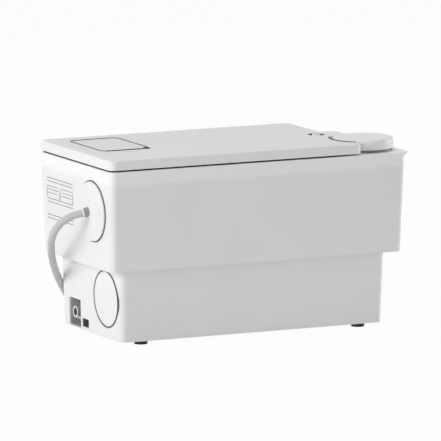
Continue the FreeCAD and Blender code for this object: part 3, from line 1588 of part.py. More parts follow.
finish(round_part("rotor", "rotor_out", "shaft_out", f"{PLATE_TOP} + stator_up", "stator_tall"), "rotor")
finish(make_impeller(), "impeller")
finish(make_pump_screws(), "pump_screws")
finish(make_check_valve(), "check_valve")
finish(make_valve_pin(), "valve_pin")
finish(make_valve_flap(), "valve_flap")
finish(make_riser(), "riser_pipe")
float_arm, float_body = make_float()
level_switch, float_pin = make_level_switch()
finish(float_arm, "float_arm")
finish(float_body, "float_body")
finish(level_switch, "level_switch")
finish(float_pin, "float_pin")
finish(make_supply_lead(), "supply_lead")
finish(make_motor_lead(), "motor_lead")
finish(make_feet(), "rubber_feet")
finish(make_cord(), "mains_cord")
cord_coil, coil_end, coil_way = make_coil()
cord_tail, tail_end = make_tail(coil_end, coil_way)
mains_plug, plug_pins = make_plug(tail_end, coil_way)
finish(cord_coil, "cord_coil")
finish(cord_tail, "cord_tail")
finish(mains_plug, "mains_plug")
finish(plug_pins, "plug_pins")

doc.recompute()
for thing in doc.Objects:
    if "Invalid" in thing.State or "Error" in thing.State:
        raise RuntimeError(f"{thing.Name} failed: {thing.State}")
os.makedirs("parts", exist_ok=True)
for thing in PIECES:
    if thing.Shape.isNull() or not thing.Shape.isValid():
        raise RuntimeError(f"{thing.Label} has no valid shape")
    print(f"{thing.Label}: {len(thing.Shape.Solids)} solids, {thing.Shape.Volume / 1000:.2f} cm3")
    thing.Shape.exportStep(f"parts/{thing.Label}.step")
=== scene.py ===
# %% Load the measured frame
import math

import bmesh
import bpy
from mathutils import Matrix, Vector


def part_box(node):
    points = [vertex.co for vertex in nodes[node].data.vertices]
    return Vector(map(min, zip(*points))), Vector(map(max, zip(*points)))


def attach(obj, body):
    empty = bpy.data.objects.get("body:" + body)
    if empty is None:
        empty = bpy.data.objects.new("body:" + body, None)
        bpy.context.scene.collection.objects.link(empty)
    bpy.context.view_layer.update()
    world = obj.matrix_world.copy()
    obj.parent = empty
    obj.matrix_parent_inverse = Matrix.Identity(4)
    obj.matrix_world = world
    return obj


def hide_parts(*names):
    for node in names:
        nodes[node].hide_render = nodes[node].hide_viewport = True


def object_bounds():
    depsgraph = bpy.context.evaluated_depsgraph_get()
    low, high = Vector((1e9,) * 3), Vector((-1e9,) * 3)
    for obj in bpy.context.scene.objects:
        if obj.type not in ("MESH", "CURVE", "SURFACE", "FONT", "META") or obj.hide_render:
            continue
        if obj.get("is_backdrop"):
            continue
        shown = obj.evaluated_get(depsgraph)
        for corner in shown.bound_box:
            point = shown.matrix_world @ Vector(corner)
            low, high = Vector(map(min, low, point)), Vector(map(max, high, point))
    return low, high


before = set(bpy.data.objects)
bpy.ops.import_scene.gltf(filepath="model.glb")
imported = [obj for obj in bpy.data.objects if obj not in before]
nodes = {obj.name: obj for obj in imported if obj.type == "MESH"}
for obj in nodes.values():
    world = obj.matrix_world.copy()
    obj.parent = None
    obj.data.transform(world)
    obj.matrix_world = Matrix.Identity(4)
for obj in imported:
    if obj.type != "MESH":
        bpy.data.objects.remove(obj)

size_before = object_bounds()

# %% [markdown]
# The object is a small box-shaped unit that lifts waste water: a white stepped
# tank with a flat lid, a round discharge cap, two round covers low and high on
# its left end, and a light grey mains cord. Every size below is written in
# millimetres, as on a drawing, and mm turns it to Blender's metres.

# %% Millimetres and colours
MM = 0.001


def mm(*values):
    """A place or a size given in millimetres, in metres."""
    scaled = tuple(value * MM for value in values)
    return scaled if len(scaled) > 1 else scaled[0]


def colour(hex_text):
    """An sRGB hex value as the linear colour that a shader wants."""
    channels = [int(hex_text[index:index + 2], 16) / 255 for index in (1, 3, 5)]
    linear = [
        channel / 12.92 if channel <= 0.04045 else ((channel + 0.055) / 1.055) ** 2.4
        for channel in channels
    ]
    return (*linear, 1.0)


def polar(centre, radius, angle, height):
    """A place so far from an upright axis at (x, y), at an angle and a height."""
    return (centre[0] + radius * math.cos(angle), centre[1] + radius * math.sin(angle), height)


def put(name, data):
    """A new object that shows the data, linked to the scene."""
    piece = bpy.data.objects.new(name, data)
    bpy.context.scene.collection.objects.link(piece)
    return piece


print("a wall of 3 mm is", mm(3.0), "m, and mid grey is", round(colour("#808080")[0], 3))

# %% [markdown]
# ## Camera
# The picture was taken with a long lens, from the front left and a little above,
# because upright edges stay upright and long edges hardly come together. The
# camera is built from two angles, a distance and a focal length in pixels, so each
# number can be matched by itself: the angles from the slopes of the edges, the
# focal length from their meeting points.

# %% Camera
TURN, TILT = math.radians(-25.91), math.radians(8.75)
DISTANCE = 7763.0
PICTURE_WIDE = 441
FOCAL = 7763.0
SHIFT_RIGHT, SHIFT_UP = 1.88, -106.29
MIDDLE_AHEAD, MIDDLE_BESIDE = 1.5, -2.25

right = Vector((math.cos(TURN), math.sin(TURN), 0))
back = Vector((math.sin(TURN) * math.cos(TILT), -math.cos(TURN) * math.cos(TILT), math.sin(TILT)))
up = back.cross(right)
stand = back * DISTANCE - right * SHIFT_RIGHT - up * SHIFT_UP + Vector((MIDDLE_AHEAD, MIDDLE_BESIDE, 0))

camera_data = bpy.data.cameras.new("picture_camera")
camera_data.sensor_width = 36.0
camera_data.lens = FOCAL / PICTURE_WIDE * camera_data.sensor_width
camera_data.clip_end = 30.0
camera = put("picture_camera", camera_data)
camera.matrix_world = Matrix.Translation(stand * MM) @ Matrix((right, up, back)).transposed().to_4x4()
bpy.context.scene.camera = camera
bpy.context.scene.view_settings.view_transform = "Standard"
print("the camera stands", round(stand.length * MM, 2), "m away with a", round(camera_data.lens), "mm lens")

# %% [markdown]
# ## Mains cord
# A 7.5 mm grey lead leaves the gland, bends down under its own weight, runs along
# the end wall to the back and lies on the floor, where the rest of it is wound
# up behind the tank. One smooth spline does all of it: its points pull the line
# towards them, so a few give an even bend, and a round bevel gives the sheath. The
# coil is twelve points a turn, slightly outside the coil's line, because the
# spline cuts inside its points.

# %% Cord route
CORD = 3.75
TURN_PITCH, LAYER_RISE, LAYER_TURNS, COIL_MIDDLE = 8.2, 8.2, 2.0, 41.0
ROUTE = [
    (-164.85, -38.85, 132.0), (-168.5, -37.55, 131.2), (-177.8, -34.05, 128.95), (-185.5, -26.9, 122.9),
    (-188.0, -15.25, 113.2), (-185.7, -1.25, 102.0), (-179.5, 13.55, 90.0), (-170.65, 30.75, 76.6),
    (-157.05, 52.75, 60.4), (-140.75, 75.15, 43.0), (-123.15, 94.85, 25.5), (-108.25, 111.05, 11.0),
    (-96.45, 126.25, 3.75), (-88.75, 143.25, 3.75),
]


def coil_place(turns):
    """Radius and height of the coil's middle line after some turns: in on the floor, then out on top."""
    climb = 0.5
    turn_back = LAYER_TURNS + climb / 2
    radius = COIL_MIDDLE + TURN_PITCH * LAYER_TURNS / 2
    radius -= TURN_PITCH * (turn_back - abs(turn_back - turns))
    share = min(max((turns - LAYER_TURNS) / climb, 0), 1)
    return radius, CORD + LAYER_RISE * share * share * (3 - 2 * share)


def coil_spot(turns, spread=1.0):
    """A place on the coil's middle line, moved outwards from the coil's heart by a factor."""
    radius, height = coil_place(turns)
    angle = COIL_FIRST - 2 * math.pi * turns
    spot = COIL_HEART + Vector((math.cos(angle), math.sin(angle), 0)) * (radius * spread)
    spot.z = height
    return spot


route = [Vector(point) for point in ROUTE]
lay_way = (route[-1] - route[-2]).normalized()
COIL_HEART = route[-1] + lay_way * (2 * CORD) + Vector((lay_way.y, -lay_way.x, 0)) * coil_place(0)[0]
COIL_FIRST = math.atan2(lay_way.x, -lay_way.y)
PER_TURN = 12
COIL_END = 2 * LAYER_TURNS + 0.25
outside = 1 / math.cos(math.pi / PER_TURN)
JOIN = 0.75 / PER_TURN
at_join = 1 / math.cos(2 * math.pi * JOIN)
coil = [coil_spot(JOIN, at_join)]
coil += [coil_spot(step / PER_TURN, outside) for step in range(2, int(PER_TURN * COIL_END) - 1)]
coil.append(coil_spot(COIL_END - JOIN, at_join))
print("the coil has", len(coil), "points")

# %% Cord and its end
TAIL_REACH, INTO_PLUG, PLUG_HEIGHT = 48.0, 3.0, 18.5
tail_way = coil_spot(COIL_END + 0.02) - coil_spot(COIL_END - 0.02)
tail_way = Vector((tail_way.x, tail_way.y, 0)).normalized()
tail_start = coil_spot(COIL_END) + tail_way * (2 * CORD)
lift = Vector((0, 0, PLUG_HEIGHT - tail_start.z))
tail = [
    tail_start + tail_way * (0.3 * TAIL_REACH),
    tail_start + tail_way * (0.7 * TAIL_REACH) + lift,
    tail_start + tail_way * (TAIL_REACH + INTO_PLUG) + lift,
]


def round_line(name, points, radius):
    """A round cord through control points in millimetres, as a smooth spline with a bevel."""
    curve = bpy.data.curves.new(name, "CURVE")
    curve.dimensions = "3D"
    curve.bevel_depth = radius * MM
    curve.bevel_resolution = 6
    curve.resolution_u = 10
    curve.use_fill_caps = True
    spline = curve.splines.new("NURBS")
    spline.points.add(len(points) - 1)
    for point, place in zip(spline.points, points):
        point.co = (*(Vector(place) * MM), 1.0)
    spline.order_u = 3
    spline.use_endpoint_u = True
    return put(name, curve)


cord = round_line("supply_cord", route + coil + tail, CORD)
print("the cord follows", len(route) + len(coil) + len(tail), "points")

# %% [markdown]
# ## Finishes
# Most of what shows is one plastic: moulded ABS with a fine eroded grain, which
# breaks a reflection up without hiding it. A finish here is a colour with a faint
# cloudy change, as in any large moulding, and a grain that moves the roughness
# and the surface a little. Both come from noise on Object coordinates, because
# every piece keeps its place in its own mesh, so no mapping has to be made.

# %% One function adds a node
def add(tree, kind, settings=None, links=()):
    """One node in a tree: its settings by name, then its links as (input, from node, output)."""
    node = tree.nodes.new(kind)
    for name, value in (settings or {}).items():
        if name in node.bl_rna.properties:
            setattr(node, name, value)
        else:
            node.inputs[name].default_value = value
    for socket, source, output in links:
        tree.links.new(source.outputs[output], node.inputs[socket])
    return node


def first(tree, kind):
    """The first node of a kind in a tree."""
    return next(node for node in tree.nodes if node.type == kind)


def new_material(name):
    """A material of that name with an empty tree, and its shader and place on the surface."""
    material = bpy.data.materials.new(name)
    material.use_nodes = True
    tree = material.node_tree
    tree.nodes.clear()
    surface = add(tree, "ShaderNodeBsdfPrincipled")
    add(tree, "ShaderNodeOutputMaterial", links=[("Surface", surface, "BSDF")])
    place = add(tree, "ShaderNodeTexCoord")
    return material, tree, surface, place


def coat(tree, surface, output, shades, relief, stops=(0.0, 1.0), metal=0.0):
    """The end of a finish: (pattern, dark, light) colours it and (pattern, strength, depth) lifts it."""
    clouds, *tints = shades
    ridges, strength, depth = relief
    tones = add(tree, "ShaderNodeValToRGB", links=[("Fac", clouds, output)])
    for stop, position, tint in zip(tones.color_ramp.elements, stops, tints):
        stop.position, stop.color = position, colour(tint)
    bump = add(
        tree, "ShaderNodeBump", {"Strength": strength, "Distance": mm(depth)}, [("Height", ridges, output)]
    )
    tree.links.new(tones.outputs["Color"], surface.inputs["Base Color"])
    tree.links.new(bump.outputs["Normal"], surface.inputs["Normal"])
    surface.inputs["Metallic"].default_value = metal


# %% Moulded, cast and blasted finishes
NOISE_SPREAD = (0.3, 0.7)


def grained(name, light, dark, grain, depth, rough, rough_change=0.06, cloud=70.0, metal=0.0):
    """A finish with two close colours in clouds and an even grain, sizes in millimetres."""
    material, tree, surface, place = new_material(name)
    clouds, pits = [
        add(
            tree, "ShaderNodeTexNoise", {"Scale": 1 / mm(size), "Detail": detail},
            [("Vector", place, "Object")],
        )
        for size, detail in ((cloud, 3.0), (grain, 2.0))
    ]
    low, high = NOISE_SPREAD
    sheen = add(
        tree, "ShaderNodeMapRange",
        {"From Min": low, "From Max": high, "To Min": rough - rough_change, "To Max": rough + rough_change},
        [("Value", pits, "Fac")],
    )
    tree.links.new(sheen.outputs["Result"], surface.inputs["Roughness"])
    coat(tree, surface, "Fac", (clouds, dark, light), (pits, 0.6, depth), NOISE_SPREAD, metal)
    return material


# Injection-moulded ABS: white through and through, satin, with a fine eroded grain.
# The real grain is about 0.1 mm, too fine to show, so it is drawn at 0.9 mm.
white_abs = grained("white ABS, moulded, fine grain", "#f3f3f2", "#f0f0ef", 0.9, 0.02, 0.42)
# Under the lid the wall is painted a little lighter in a band: painted light on the upper strip, where the
# top light falls.
tank_abs_lit_rim = grained("white ABS, painted light at the rim", "#f3f3f2", "#f0f0ef", 0.9, 0.02, 0.42)
RIM_FOOT, RIM_HEAD = 160.5, 165.5
tank_tree = tank_abs_lit_rim.node_tree
tank_surface, tank_colours = first(tank_tree, "BSDF_PRINCIPLED"), first(tank_tree, "VALTORGB")
tank_place = first(tank_tree, "TEX_COORD")
tank_height = add(tank_tree, "ShaderNodeSeparateXYZ", links=[("Vector", tank_place, "Object")])
lit_rim_share = add(
    tank_tree, "ShaderNodeMapRange", {"From Min": mm(RIM_FOOT), "From Max": mm(RIM_HEAD)},
    [("Value", tank_height, "Z")],
)
# The band's lighter colour, blended in over the rim's height, is painted light.
lit_rim_mix = add(
    tank_tree, "ShaderNodeMix", {"data_type": "RGBA"}, [(0, lit_rim_share, "Result"), (6, tank_colours, "Color")]
)
lit_rim_mix.inputs[7].default_value = colour("#fafaf9")
tank_tree.links.new(lit_rim_mix.outputs[2], tank_surface.inputs["Base Color"])
# The covers and the cap come from other moulds: a hair whiter and smoother.
smooth_abs = grained("white ABS, moulded, smooth", "#f4f4f3", "#f1f1f0", 1.4, 0.012, 0.33, 0.04)
# Ethylene rubber of gasket and feet: near black, dull, with a faint bloom.
rubber = grained("EPDM rubber, moulded", "#2b2b2d", "#202022", 0.7, 0.03, 0.72, 0.08, 14.0)
# Soft PVC of the lead and its plug: light grey, with the slight sheen of a wiped hand.
cord_sheath = grained("PVC cord sheath, extruded", "#cbcbca", "#c3c3c2", 1.1, 0.02, 0.46, 0.06, 26.0)
plug_pvc = grained("PVC plug, moulded", "#bfbfbe", "#b7b7b6", 0.8, 0.03, 0.5, 0.06, 18.0)
# Polypropylene drain pipe: mid grey, waxy.
pipe_plastic = grained("grey polypropylene pipe", "#7f8284", "#787b7d", 1.2, 0.015, 0.38, 0.05, 22.0)
# Glass-filled polyamide of the pump: black, with the fibres' dry, uneven skin.
filled_nylon = grained("black polyamide, glass filled", "#2d2e30", "#222325", 0.8, 0.05, 0.58, 0.12, 9.0)
# Moulded ABS of the control box: light grey and satin, so it stands out from the black pump.
box_plastic = grained("light grey ABS box", "#c4c6c7", "#bdbfc0", 0.9, 0.02, 0.45, 0.05, 30.0)
# Die-cast aluminium, blasted: a soft bright skin over a flowing cloud of grey.
cast_aluminium = grained(
    "die-cast aluminium, blasted", "#b9bbbd", "#a4a6a9", 0.8, 0.06, 0.5, 0.08, 12.0, 1.0,
)
print("moulded, extruded and cast finishes:", len(bpy.data.materials))

# %% [markdown]
# Turned, drawn and stacked metal has a direction: fine rings round a shaft, lines
# along a can, thin sheets in a stack. A wave along one axis gives the rings or
# sheets, and a little distortion keeps them from looking drawn with a ruler.

# %% Finishes with a direction
# At scale 1 a wave repeats every 0.314 units.
WAVE_UNIT = 0.314


def lined(name, light, dark, spacing, axis, depth, rough, metal=1.0, wander=0.6):
    """A finish of fine parallel lines across one axis, their spacing in millimetres."""
    material, tree, surface, place = new_material(name)
    lines = add(
        tree, "ShaderNodeTexWave",
        {"wave_type": "BANDS", "bands_direction": axis, "Scale": WAVE_UNIT / mm(spacing),
         "Distortion": wander, "Detail": 2.0},
        [("Vector", place, "Object")],
    )
    surface.inputs["Roughness"].default_value = rough
    coat(tree, surface, "Fac", (lines, dark, light), (lines, 0.7, depth), metal=metal)
    return material


turned_steel = lined("stainless steel, turned", "#c9cacc", "#aeb0b3", 0.6, "Z", 0.02, 0.28)
stacked_sheet = lined("electrical sheet, stacked", "#77797c", "#4d4f52", 1.0, "Z", 0.08, 0.42)
enamelled_wire = lined("copper wire, enamelled", "#b4602e", "#6f3516", 1.2, "Z", 0.25, 0.3, 0.9, 1.6)
drawn_can = lined("aluminium can, drawn", "#d4d6d8", "#c0c2c5", 1.5, "Y", 0.01, 0.3)
# Nickel on brass is bright with a warm cast, and the leads' rubber is black and dull.
nickel = grained("brass pin, nickel plated", "#cfcdc8", "#bfbdb8", 1.0, 0.01, 0.22, 0.04, 9.0, 1.0)
lead_sheath = grained("rubber lead sheath, black", "#232326", "#1a1a1c", 0.9, 0.03, 0.6, 0.08, 10.0)
print("finishes so far:", len(bpy.data.materials))

# %% [markdown]
# Open foam is a mesh of thin walls round cells of about a millimetre, so its
# finish is the edges of Voronoi cells: dark, dry, and pitted between the walls.
# A circuit board is glass cloth under green lacquer, with paler copper tracks
# under it, which the edges of a second, larger and squarer cell pattern give.

# %% Finishes made of cells
EDGE_BLUR = 0.12


def celled(name, wall, hollow, cell, depth, rough, edge, metric="EUCLIDEAN"):
    """A finish of cells with edges, the size of a cell in millimetres."""
    material, tree, surface, place = new_material(name)
    cells = add(
        tree, "ShaderNodeTexVoronoi",
        {"feature": "F1", "distance": metric, "Scale": 1 / mm(cell), "Randomness": 0.8},
        [("Vector", place, "Object")],
    )
    surface.inputs["Roughness"].default_value = rough
    stops = (edge, edge + EDGE_BLUR)
    coat(tree, surface, "Distance", (cells, hollow, wall), (cells, 0.9, depth), stops)
    return material


carbon_foam = celled("open polyurethane foam with carbon", "#2a2a2b", "#0d0d0e", 1.6, 0.5, 0.95, 0.35)
green_board = celled(
    "glass cloth board, green lacquer", "#1f6b3a", "#17552d", 5.0, 0.03, 0.35, 0.55, "CHEBYCHEV",
)
print("finishes in all:", len(bpy.data.materials))

# %% [markdown]
# ## Which node wears which finish
# Each node of the frame keeps its measured shape and gets the finish of the real
# piece, from a table of finishes and their nodes.

# %% Dress the nodes
FINISH_OF = [
    (tank_abs_lit_rim, "tank"),
    (white_abs, "lid filter_flap cable_cover inlet_plug drain_spigot"),
    (smooth_abs, "outlet_cap cable_gland gland_nut lid_screw"),
    (rubber, "lid_gasket inlet_seal rubber_feet valve_flap shaft_seal"),
    (plug_pvc, "mains_plug"),
    (nickel, "plug_pins"),
    (pipe_plastic, "outlet_socket check_valve riser_pipe"),
    (filled_nylon, "suction_strainer pump_casing seal_plate impeller float_body float_arm"),
    (filled_nylon, "level_switch pump_relay"),
    (box_plastic, "control_box box_cover filter_tray"),
    (cast_aluminium, "motor_housing"),
    (turned_steel, "motor_shaft shaft_bearings pump_screws valve_pin float_pin"),
    (stacked_sheet, "stator rotor"),
    (enamelled_wire, "stator_windings"),
    (drawn_can, "run_capacitor"),
    (carbon_foam, "carbon_filter"),
    (green_board, "circuit_board"),
    (lead_sheath, "motor_lead supply_lead"),
]


def wear(piece, material):
    """The piece shows this material alone."""
    piece.data.materials.clear()
    piece.data.materials.append(material)


dressed = 0
for material, names in FINISH_OF:
    for name in names.split():
        wear(nodes[name], material)
        dressed += 1
wear(cord, cord_sheath)
print("dressed", dressed, "nodes and the cord")

# %% [markdown]
# ## Trees that repeat and follow
# Two small trees in Geometry Nodes make most of the fittings. The first lays a
# round bead along a line, which is how seals, ties and threads are made.
# The second sets one item at every point of a mesh and turns it as the point's
# own attribute says, which is how screws, fins and slots are made. Their sizes are
# named inputs, and what they give is turned into plain geometry at once.

# %% Building and closing a tree
def new_tree(name, inputs):
    """An empty node tree with named inputs, given as (name, kind)."""
    tree = bpy.data.node_groups.new(name, "GeometryNodeTree")
    tree.interface.new_socket("Geometry", in_out="INPUT", socket_type="NodeSocketGeometry")
    for title, kind in inputs:
        tree.interface.new_socket(title, in_out="INPUT", socket_type=kind)
    tree.interface.new_socket("Geometry", in_out="OUTPUT", socket_type="NodeSocketGeometry")
    return tree, add(tree, "NodeGroupInput"), add(tree, "NodeGroupOutput")


def close_tree(tree, source, output, leave):
    """The end of both trees: real geometry that wears the material of the input named Finish."""
    enter = first(tree, "GROUP_INPUT")
    real = add(tree, "GeometryNodeRealizeInstances", links=[("Geometry", source, output)])
    painted = add(
        tree, "GeometryNodeSetMaterial",
        links=[("Geometry", real, "Geometry"), ("Material", enter, "Finish")],
    )
    tree.links.new(painted.outputs["Geometry"], leave.inputs["Geometry"])


def grow(name, mesh, tree, values):
    """The plain mesh that a tree makes from a starting mesh, with its named inputs set."""
    starter = put(name + "_starter", mesh)
    modifier = starter.modifiers.new("grow", "NODES")
    modifier.node_group = tree
    for item in tree.interface.items_tree:
        if item.in_out == "INPUT" and item.name in values:
            modifier[item.identifier] = values[item.name]
    graph = bpy.context.evaluated_depsgraph_get()
    grown = bpy.data.meshes.new_from_object(starter.evaluated_get(graph))
    bpy.data.objects.remove(starter)
    return put(name, grown)


def make_bead_tree():
    """A round bead along a line of edges."""
    tree, enter, leave = new_tree(
        "bead along a line",
        [("Bead Radius", "NodeSocketFloat"), ("Sides", "NodeSocketInt"), ("Finish", "NodeSocketMaterial")],
    )
    line = add(tree, "GeometryNodeMeshToCurve", links=[("Mesh", enter, "Geometry")])
    profile = add(
        tree, "GeometryNodeCurvePrimitiveCircle",
        links=[("Radius", enter, "Bead Radius"), ("Resolution", enter, "Sides")],
    )
    bead = add(
        tree, "GeometryNodeCurveToMesh", {"Fill Caps": True},
        [("Curve", line, "Curve"), ("Profile Curve", profile, "Curve")],
    )
    smooth = add(tree, "GeometryNodeSetShadeSmooth", links=[("Geometry", bead, "Mesh")])
    close_tree(tree, smooth, "Geometry", leave)
    return tree


def make_stamp_tree():
    """One item at every point, turned by the point's attribute named turn."""
    tree, enter, leave = new_tree(
        "item at every point", [("Item", "NodeSocketObject"), ("Finish", "NodeSocketMaterial")]
    )
    item = add(tree, "GeometryNodeObjectInfo", links=[("Object", enter, "Item")])
    turn = add(tree, "GeometryNodeInputNamedAttribute", {"data_type": "FLOAT_VECTOR", "Name": "turn"})
    stamped = add(
        tree, "GeometryNodeInstanceOnPoints",
        links=[
            ("Points", enter, "Geometry"), ("Instance", item, "Geometry"), ("Rotation", turn, "Attribute"),
        ],
    )
    close_tree(tree, stamped, "Instances", leave)
    return tree


bead_tree, stamp_tree = make_bead_tree(), make_stamp_tree()
print("two trees with", len(bead_tree.nodes), "and", len(stamp_tree.nodes), "nodes")

# %% Beads, turned pieces and slabs
BEAD_SIDES, SLAB_SHARP = 10, 40


def bead(name, points, radius, material, closed=True):
    """A round bead through points in millimetres."""
    mesh = bpy.data.meshes.new(name)
    last = len(points) if closed else len(points) - 1
    edges = [(index, (index + 1) % len(points)) for index in range(last)]
    mesh.from_pydata([Vector(point) * MM for point in points], edges, [])
    values = {"Bead Radius": mm(radius), "Sides": BEAD_SIDES, "Finish": material}
    return grow(name, mesh, bead_tree, values)


def smooth_piece(name, mesh, material, sharp):
    """A mesh as an object in one material, smooth except across edges sharper than some degrees."""
    mesh.polygons.foreach_set("use_smooth", [True] * len(mesh.polygons))
    mesh.set_sharp_from_angle(angle=math.radians(sharp))
    mesh.update()
    piece = put(name, mesh)
    wear(piece, material)
    return piece


def solid(name, points, faces, material, sharp=32):
    """A closed mesh object from points in millimetres."""
    mesh = bpy.data.meshes.new(name)
    mesh.from_pydata([Vector(point) * MM for point in points], [], faces)
    form = bmesh.new()
    form.from_mesh(mesh)
    bmesh.ops.remove_doubles(form, verts=form.verts, dist=1e-6)
    bmesh.ops.recalc_face_normals(form, faces=form.faces)
    form.to_mesh(mesh)
    form.free()
    return smooth_piece(name, mesh, material, sharp)


def spokes(way, steps):
    """The unit vector of an axis, and those that stand all round it."""
    way = Vector(way).normalized()
    side = way.orthogonal().normalized()
    other = way.cross(side)
    turns = [2 * math.pi * step / steps for step in range(steps)]
    return way, [side * math.cos(turn) + other * math.sin(turn) for turn in turns]


def spun(name, profile, foot, way, material, steps=48, sharp=32, ring=False):
    """(along, radius) pairs in millimetres, spun round an axis through foot; a ring's profile is a loop."""
    way, rays = spokes(way, steps)
    points = [Vector(foot) + way * along + ray * radius for along, radius in profile for ray in rays]
    faces = []
    for row in range(len(profile) if ring else len(profile) - 1):
        low, high = row * steps, (row + 1) % len(profile) * steps
        for step in range(steps):
            after = (step + 1) % steps
            faces.append((low + step, low + after, high + after, high + step))
    if not ring:
        faces.append(tuple(reversed(range(steps))))
        faces.append(tuple(range(len(points) - steps, len(points))))
    return solid(name, points, faces, material, sharp)


def slab(name, low, high, edge, material):
    """A box between two corners in millimetres, with rounded edges."""
    mesh = bpy.data.meshes.new(name)
    form = bmesh.new()
    bmesh.ops.create_cube(form, size=1.0)
    for vert in form.verts:
        vert.co = [(a + b) / 2 * MM + co * (b - a) * MM for a, b, co in zip(low, high, vert.co)]
    bmesh.ops.bevel(form, geom=form.edges[:], offset=edge * MM, segments=3, affect="EDGES", profile=0.5)
    form.to_mesh(mesh)
    form.free()
    return smooth_piece(name, mesh, material, SLAB_SHARP)


def repeat(name, item, places, material):
    """The item at each (point, turn) in millimetres and radians, as one mesh; the item itself goes."""
    mesh = bpy.data.meshes.new(name)
    mesh.from_pydata([Vector(point) * MM for point, _ in places], [], [])
    turns = mesh.attributes.new("turn", "FLOAT_VECTOR", "POINT")
    for value, (_, turn) in zip(turns.data, places):
        value.vector = turn
    piece = grow(name, mesh, stamp_tree, {"Item": item, "Finish": material})
    bpy.data.objects.remove(item)
    return piece


def belongs(piece, body="tank_unit"):
    """The piece rides on a body."""
    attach(piece, body)
    return piece


print("ready to bead, spin, slab and repeat")

# %% [markdown]
# ## Gaps and painted shade
# The thin dark outlines in narrow gaps are painted shade: beads of grey and
# near-black set where shade falls, round the filter flap, round the plug, round the
# cable cover, and in the lid's bay beside the cap. Each is a bead that follows the
# edge of its gap, and the flap has a second one on its near side, thicker and
# darker for the deeper shade there. A ray cast from the left finds where the
# leaning end wall is, so the beads lie on it.

# %% Where the outside is
CORNER_STEPS = 8


def box_mm(name):
    """The lowest and highest corner of a node, in millimetres."""
    return [tuple(value / MM for value in corner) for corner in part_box(name)]


def wall_x(name, y, z):
    """How far left a node's surface stands at a height and a side, in millimetres."""
    found, place, _, _ = nodes[name].ray_cast(Vector((-400, y, z)) * MM, Vector((1, 0, 0)))
    return place.x / MM if found else box_mm(name)[0][0]


def ring_on_wall(name, y, z, radius, deeper, lean=0.0, steps=96):
    """A circle on the end wall, whose slope two heights give; lean sinks the circle's far side."""
    span = 12.0
    foot, head = (wall_x(name, 0.0, z + side) for side in (-span, span))
    points = []
    for step in range(steps):
        angle = 2 * math.pi * step / steps
        side, height = y + radius * math.cos(angle), z + radius * math.sin(angle)
        wall = foot + (head - foot) * (height - z + span) / (2 * span)
        points.append((wall + deeper + lean * (1 + math.cos(angle)) / 2, side, height))
    return points


def rounded_rectangle(low, high, height, corner):
    """A rounded rectangle at a height, each corner an arc of a few steps."""
    west, south, east, north = low[0] + corner, low[1] + corner, high[0] - corner, high[1] - corner
    centres = ((east, north), (west, north), (west, south), (east, south))
    return [
        polar(centre, corner, math.radians(quarter * 90 + step * 90 / CORNER_STEPS), height)
        for quarter, centre in enumerate(centres) for step in range(CORNER_STEPS + 1)
    ]


print("the lower end wall stands at", round(wall_x("tank", -75.0, 43.7), 1), "mm")

# %% Painted shade in the gaps
# Grey and dull: painted shade for the gap lines that are softer than black.
gap_shade_grey = grained("grey painted gap shade", "#5e5f61", "#535456", 0.7, 0.02, 0.7, 0.06, 14.0)
flap_low, flap_high = box_mm("filter_flap")
flap_right, flap_near = flap_high[0], flap_low[1]
LID_HIGH, HALF_GAP, FLAP_CORNER = flap_high[2], 0.6, 7.0
flap_line = rounded_rectangle(
    (flap_low[0] - HALF_GAP, flap_near - HALF_GAP),
    (flap_right + HALF_GAP, flap_high[1] + HALF_GAP), LID_HIGH, FLAP_CORNER + HALF_GAP,
)
# The flap's near right corner is cut away for a finger. The bead of painted shade
# crosses there in the middle of the gap, so two points replace that corner's arc.
CUT, AT_CUT = 11.06, 10.81
flap_line[-CORNER_STEPS - 1:] = [
    (flap_right - AT_CUT, flap_near - HALF_GAP, LID_HIGH),
    (flap_right + HALF_GAP, flap_near + AT_CUT, LID_HIGH),
]
# A grey bead in the gap round the flap: painted shade.
belongs(bead("flap_seal", flap_line, 0.6, gap_shade_grey), "filter")
# On the near side a thicker near-black bead: painted shade, deeper there.
near_line = [point for point in flap_line if point[1] < flap_near + 2 * HALF_GAP]
belongs(bead("flap_near_seal", near_line, 0.82, rubber, closed=False), "filter")

COVER_Y, COVER_Z, COVER_R = -39.95, 132.7, 29.6
# A grey bead at the cover's foot: painted shade in its gap.
cover_line = ring_on_wall("tank", COVER_Y, COVER_Z, COVER_R + 0.5, -0.1)
belongs(bead("cover_seal", cover_line, 0.75, gap_shade_grey))

PLUG_Y, PLUG_Z, PLUG_R = -36.75, 43.7, 27.8
# A grey bead round the plug: painted shade in its gap, sunk on the far side so that it shows on the near
# side.
plug_line = ring_on_wall("tank", PLUG_Y, PLUG_Z, PLUG_R + 0.35, -0.35, 0.55)
belongs(bead("plug_seal", plug_line, 0.8, gap_shade_grey), "inlet_plug")

# The bay's near-black bead is painted shade in the gap beside the cap; it runs to the lid's end and goes
# down there.
CAP, BAY_R, BAY_END_R = (137.0, -44.75), 33.7, 33.0
BAY_FROM, BAY_OVER, BAY_STEPS, BAY_END = 148, 83, 40, 232
bay_way = [(BAY_FROM + BAY_OVER * step / BAY_STEPS, BAY_R, 0.15) for step in range(BAY_STEPS + 1)]
bay_way += [(BAY_END, BAY_END_R, drop) for drop in (1.2, 4.0, 8.0, 11.0)]
bay_line = [polar(CAP, radius, math.radians(turn), LID_HIGH - drop) for turn, radius, drop in bay_way]
belongs(bead("bay_seal", bay_line, 0.8, rubber, closed=False), "lid")
print("seals of", len(flap_line), len(cover_line), len(plug_line), "and", len(bay_line), "points")

# %% [markdown]
# The finger notch at the flap's corner, the drain pocket and the floor fixing are
# lined with thin grey and dark pieces of painted shade, which make all three
# darker than shade alone makes a white recess. A pocket's painted shade is five
# thin slabs. The notch's floor, walls and the strip on the flap's cut are upright
# solids over short outlines.

